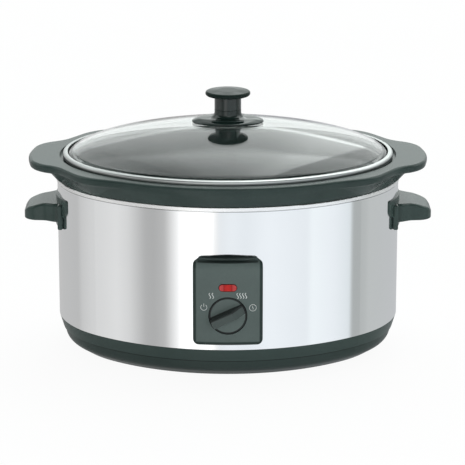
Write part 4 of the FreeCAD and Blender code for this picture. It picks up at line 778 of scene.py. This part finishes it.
world = bpy.data.worlds.new("light_tent")
bpy.context.scene.world = world
world.use_nodes = True
tree = world.node_tree
split = tree.nodes.new("ShaderNodeSeparateXYZ")
tree.links.new(tree.nodes.new("ShaderNodeTexCoord").outputs["Generated"], split.inputs[0])
aside, back, height = split.outputs["X"], split.outputs["Y"], split.outputs["Z"]
turn = math_node(tree, "ARCTAN2", aside, math_node(tree, "MULTIPLY", back, -1.0))
sides = tone_ramp(tree, math_node(tree, "MULTIPLY_ADD", turn, 0.5 / math.pi, 0.5), [
    (angle / 360 + 0.5, *level) for angle, *level in (
        (-180, 0.55), (-110, 0.52), (-104, 0.60), (-84, 0.70), (-68, 0.77), (-60, 0.70),
        (-49, 0.46), (-44, 0.44), (-37, 0.50), (-29, 1.0), (-26, 1.3), (-10, 1.3), (-7, 0.95),
        (-5, 0.83, 0.86, 0.89), (2, 0.87, 0.91, 0.95), (10, 0.83, 0.87, 0.91),
        (24, 0.90, 0.94, 0.98), (47, 0.84, 0.88, 0.92), (50, 0.92, 0.97, 1.0),
        (64, 0.87, 0.91, 0.95), (76, 0.77, 0.82, 0.85), (78, 0.41, 0.43, 0.43),
        (96, 0.53, 0.55, 0.55), (180, 0.54, 0.55, 0.57),
    )
])
back_slope, back_start, low_slope, low_start = 6.0, -4.6, 12.0, 0.2
behind = math_node(tree, "MULTIPLY_ADD", back, back_slope, back_start, True)
raised = math_node(tree, "MULTIPLY_ADD", height, low_slope, low_start, True)
sides = mix_tones(tree, math_node(tree, "MULTIPLY", behind, raised), sides, (1.10, 1.16, 1.145))
over = math_node(tree, "MULTIPLY", math_node(tree, "ARCTAN2", height, back), 1 / math.pi, 0, True)
roof = tone_ramp(tree, over, [
    (angle / 180, level) for angle, level in (
        (0, 1.3), (17, 1.5), (19, 2.3), (22, 2.3), (23, 1.35), (39, 1.5), (44, 2.8), (84, 2.9),
        (94, 0.6), (102, 0.2), (140, 0.2), (146, 1.5), (160, 1.5), (180, 1.3),
    )
])
across = tone_ramp(tree, math_node(tree, "MULTIPLY_ADD", aside, 0.5, 0.5), [
    (place * 0.5 + 0.5, level) for place, level in (
        (-1, 0.5), (-0.29, 0.36), (-0.26, 0.38), (-0.25, 0.48), (-0.16, 0.62), (-0.10, 0.85),
        (0.0, 1.0), (0.10, 1.25), (0.15, 1.6), (0.24, 1.65), (0.27, 0.75), (1, 0.6),
    )
])
upper = mix_tones(tree, 1.0, roof, across, "MULTIPLY")
upper = mix_tones(tree, 1.0, upper, (0.945, 1.0, 0.985), "MULTIPLY")
roof_slope, roof_start = 25.0, -7.7
tent = mix_tones(tree, math_node(tree, "MULTIPLY_ADD", height, roof_slope, roof_start, True), sides, upper)
ray = tree.nodes.new("ShaderNodeLightPath")
seen = math_node(tree, "MAXIMUM", ray.outputs["Is Camera Ray"], ray.outputs["Is Transmission Ray"])
background = tree.nodes["Background"]
tree.links.new(mix_tones(tree, seen, tent, (1.0, 1.0, 1.0)), background.inputs["Color"])
background.inputs["Strength"].default_value = 1.0

camera_data = bpy.data.cameras.new("camera")
camera = bpy.data.objects.new("camera", camera_data)
bpy.context.scene.collection.objects.link(camera)
camera.location = (0, -2.56715, 0.82783)
camera.rotation_euler = (math.radians(74.633), 0, 0)
camera_data.sensor_width = 36
camera_data.lens = 194.41
camera_data.shift_x = 0.0100
bpy.context.scene.camera = camera
bpy.context.scene.view_settings.view_transform = "Standard"
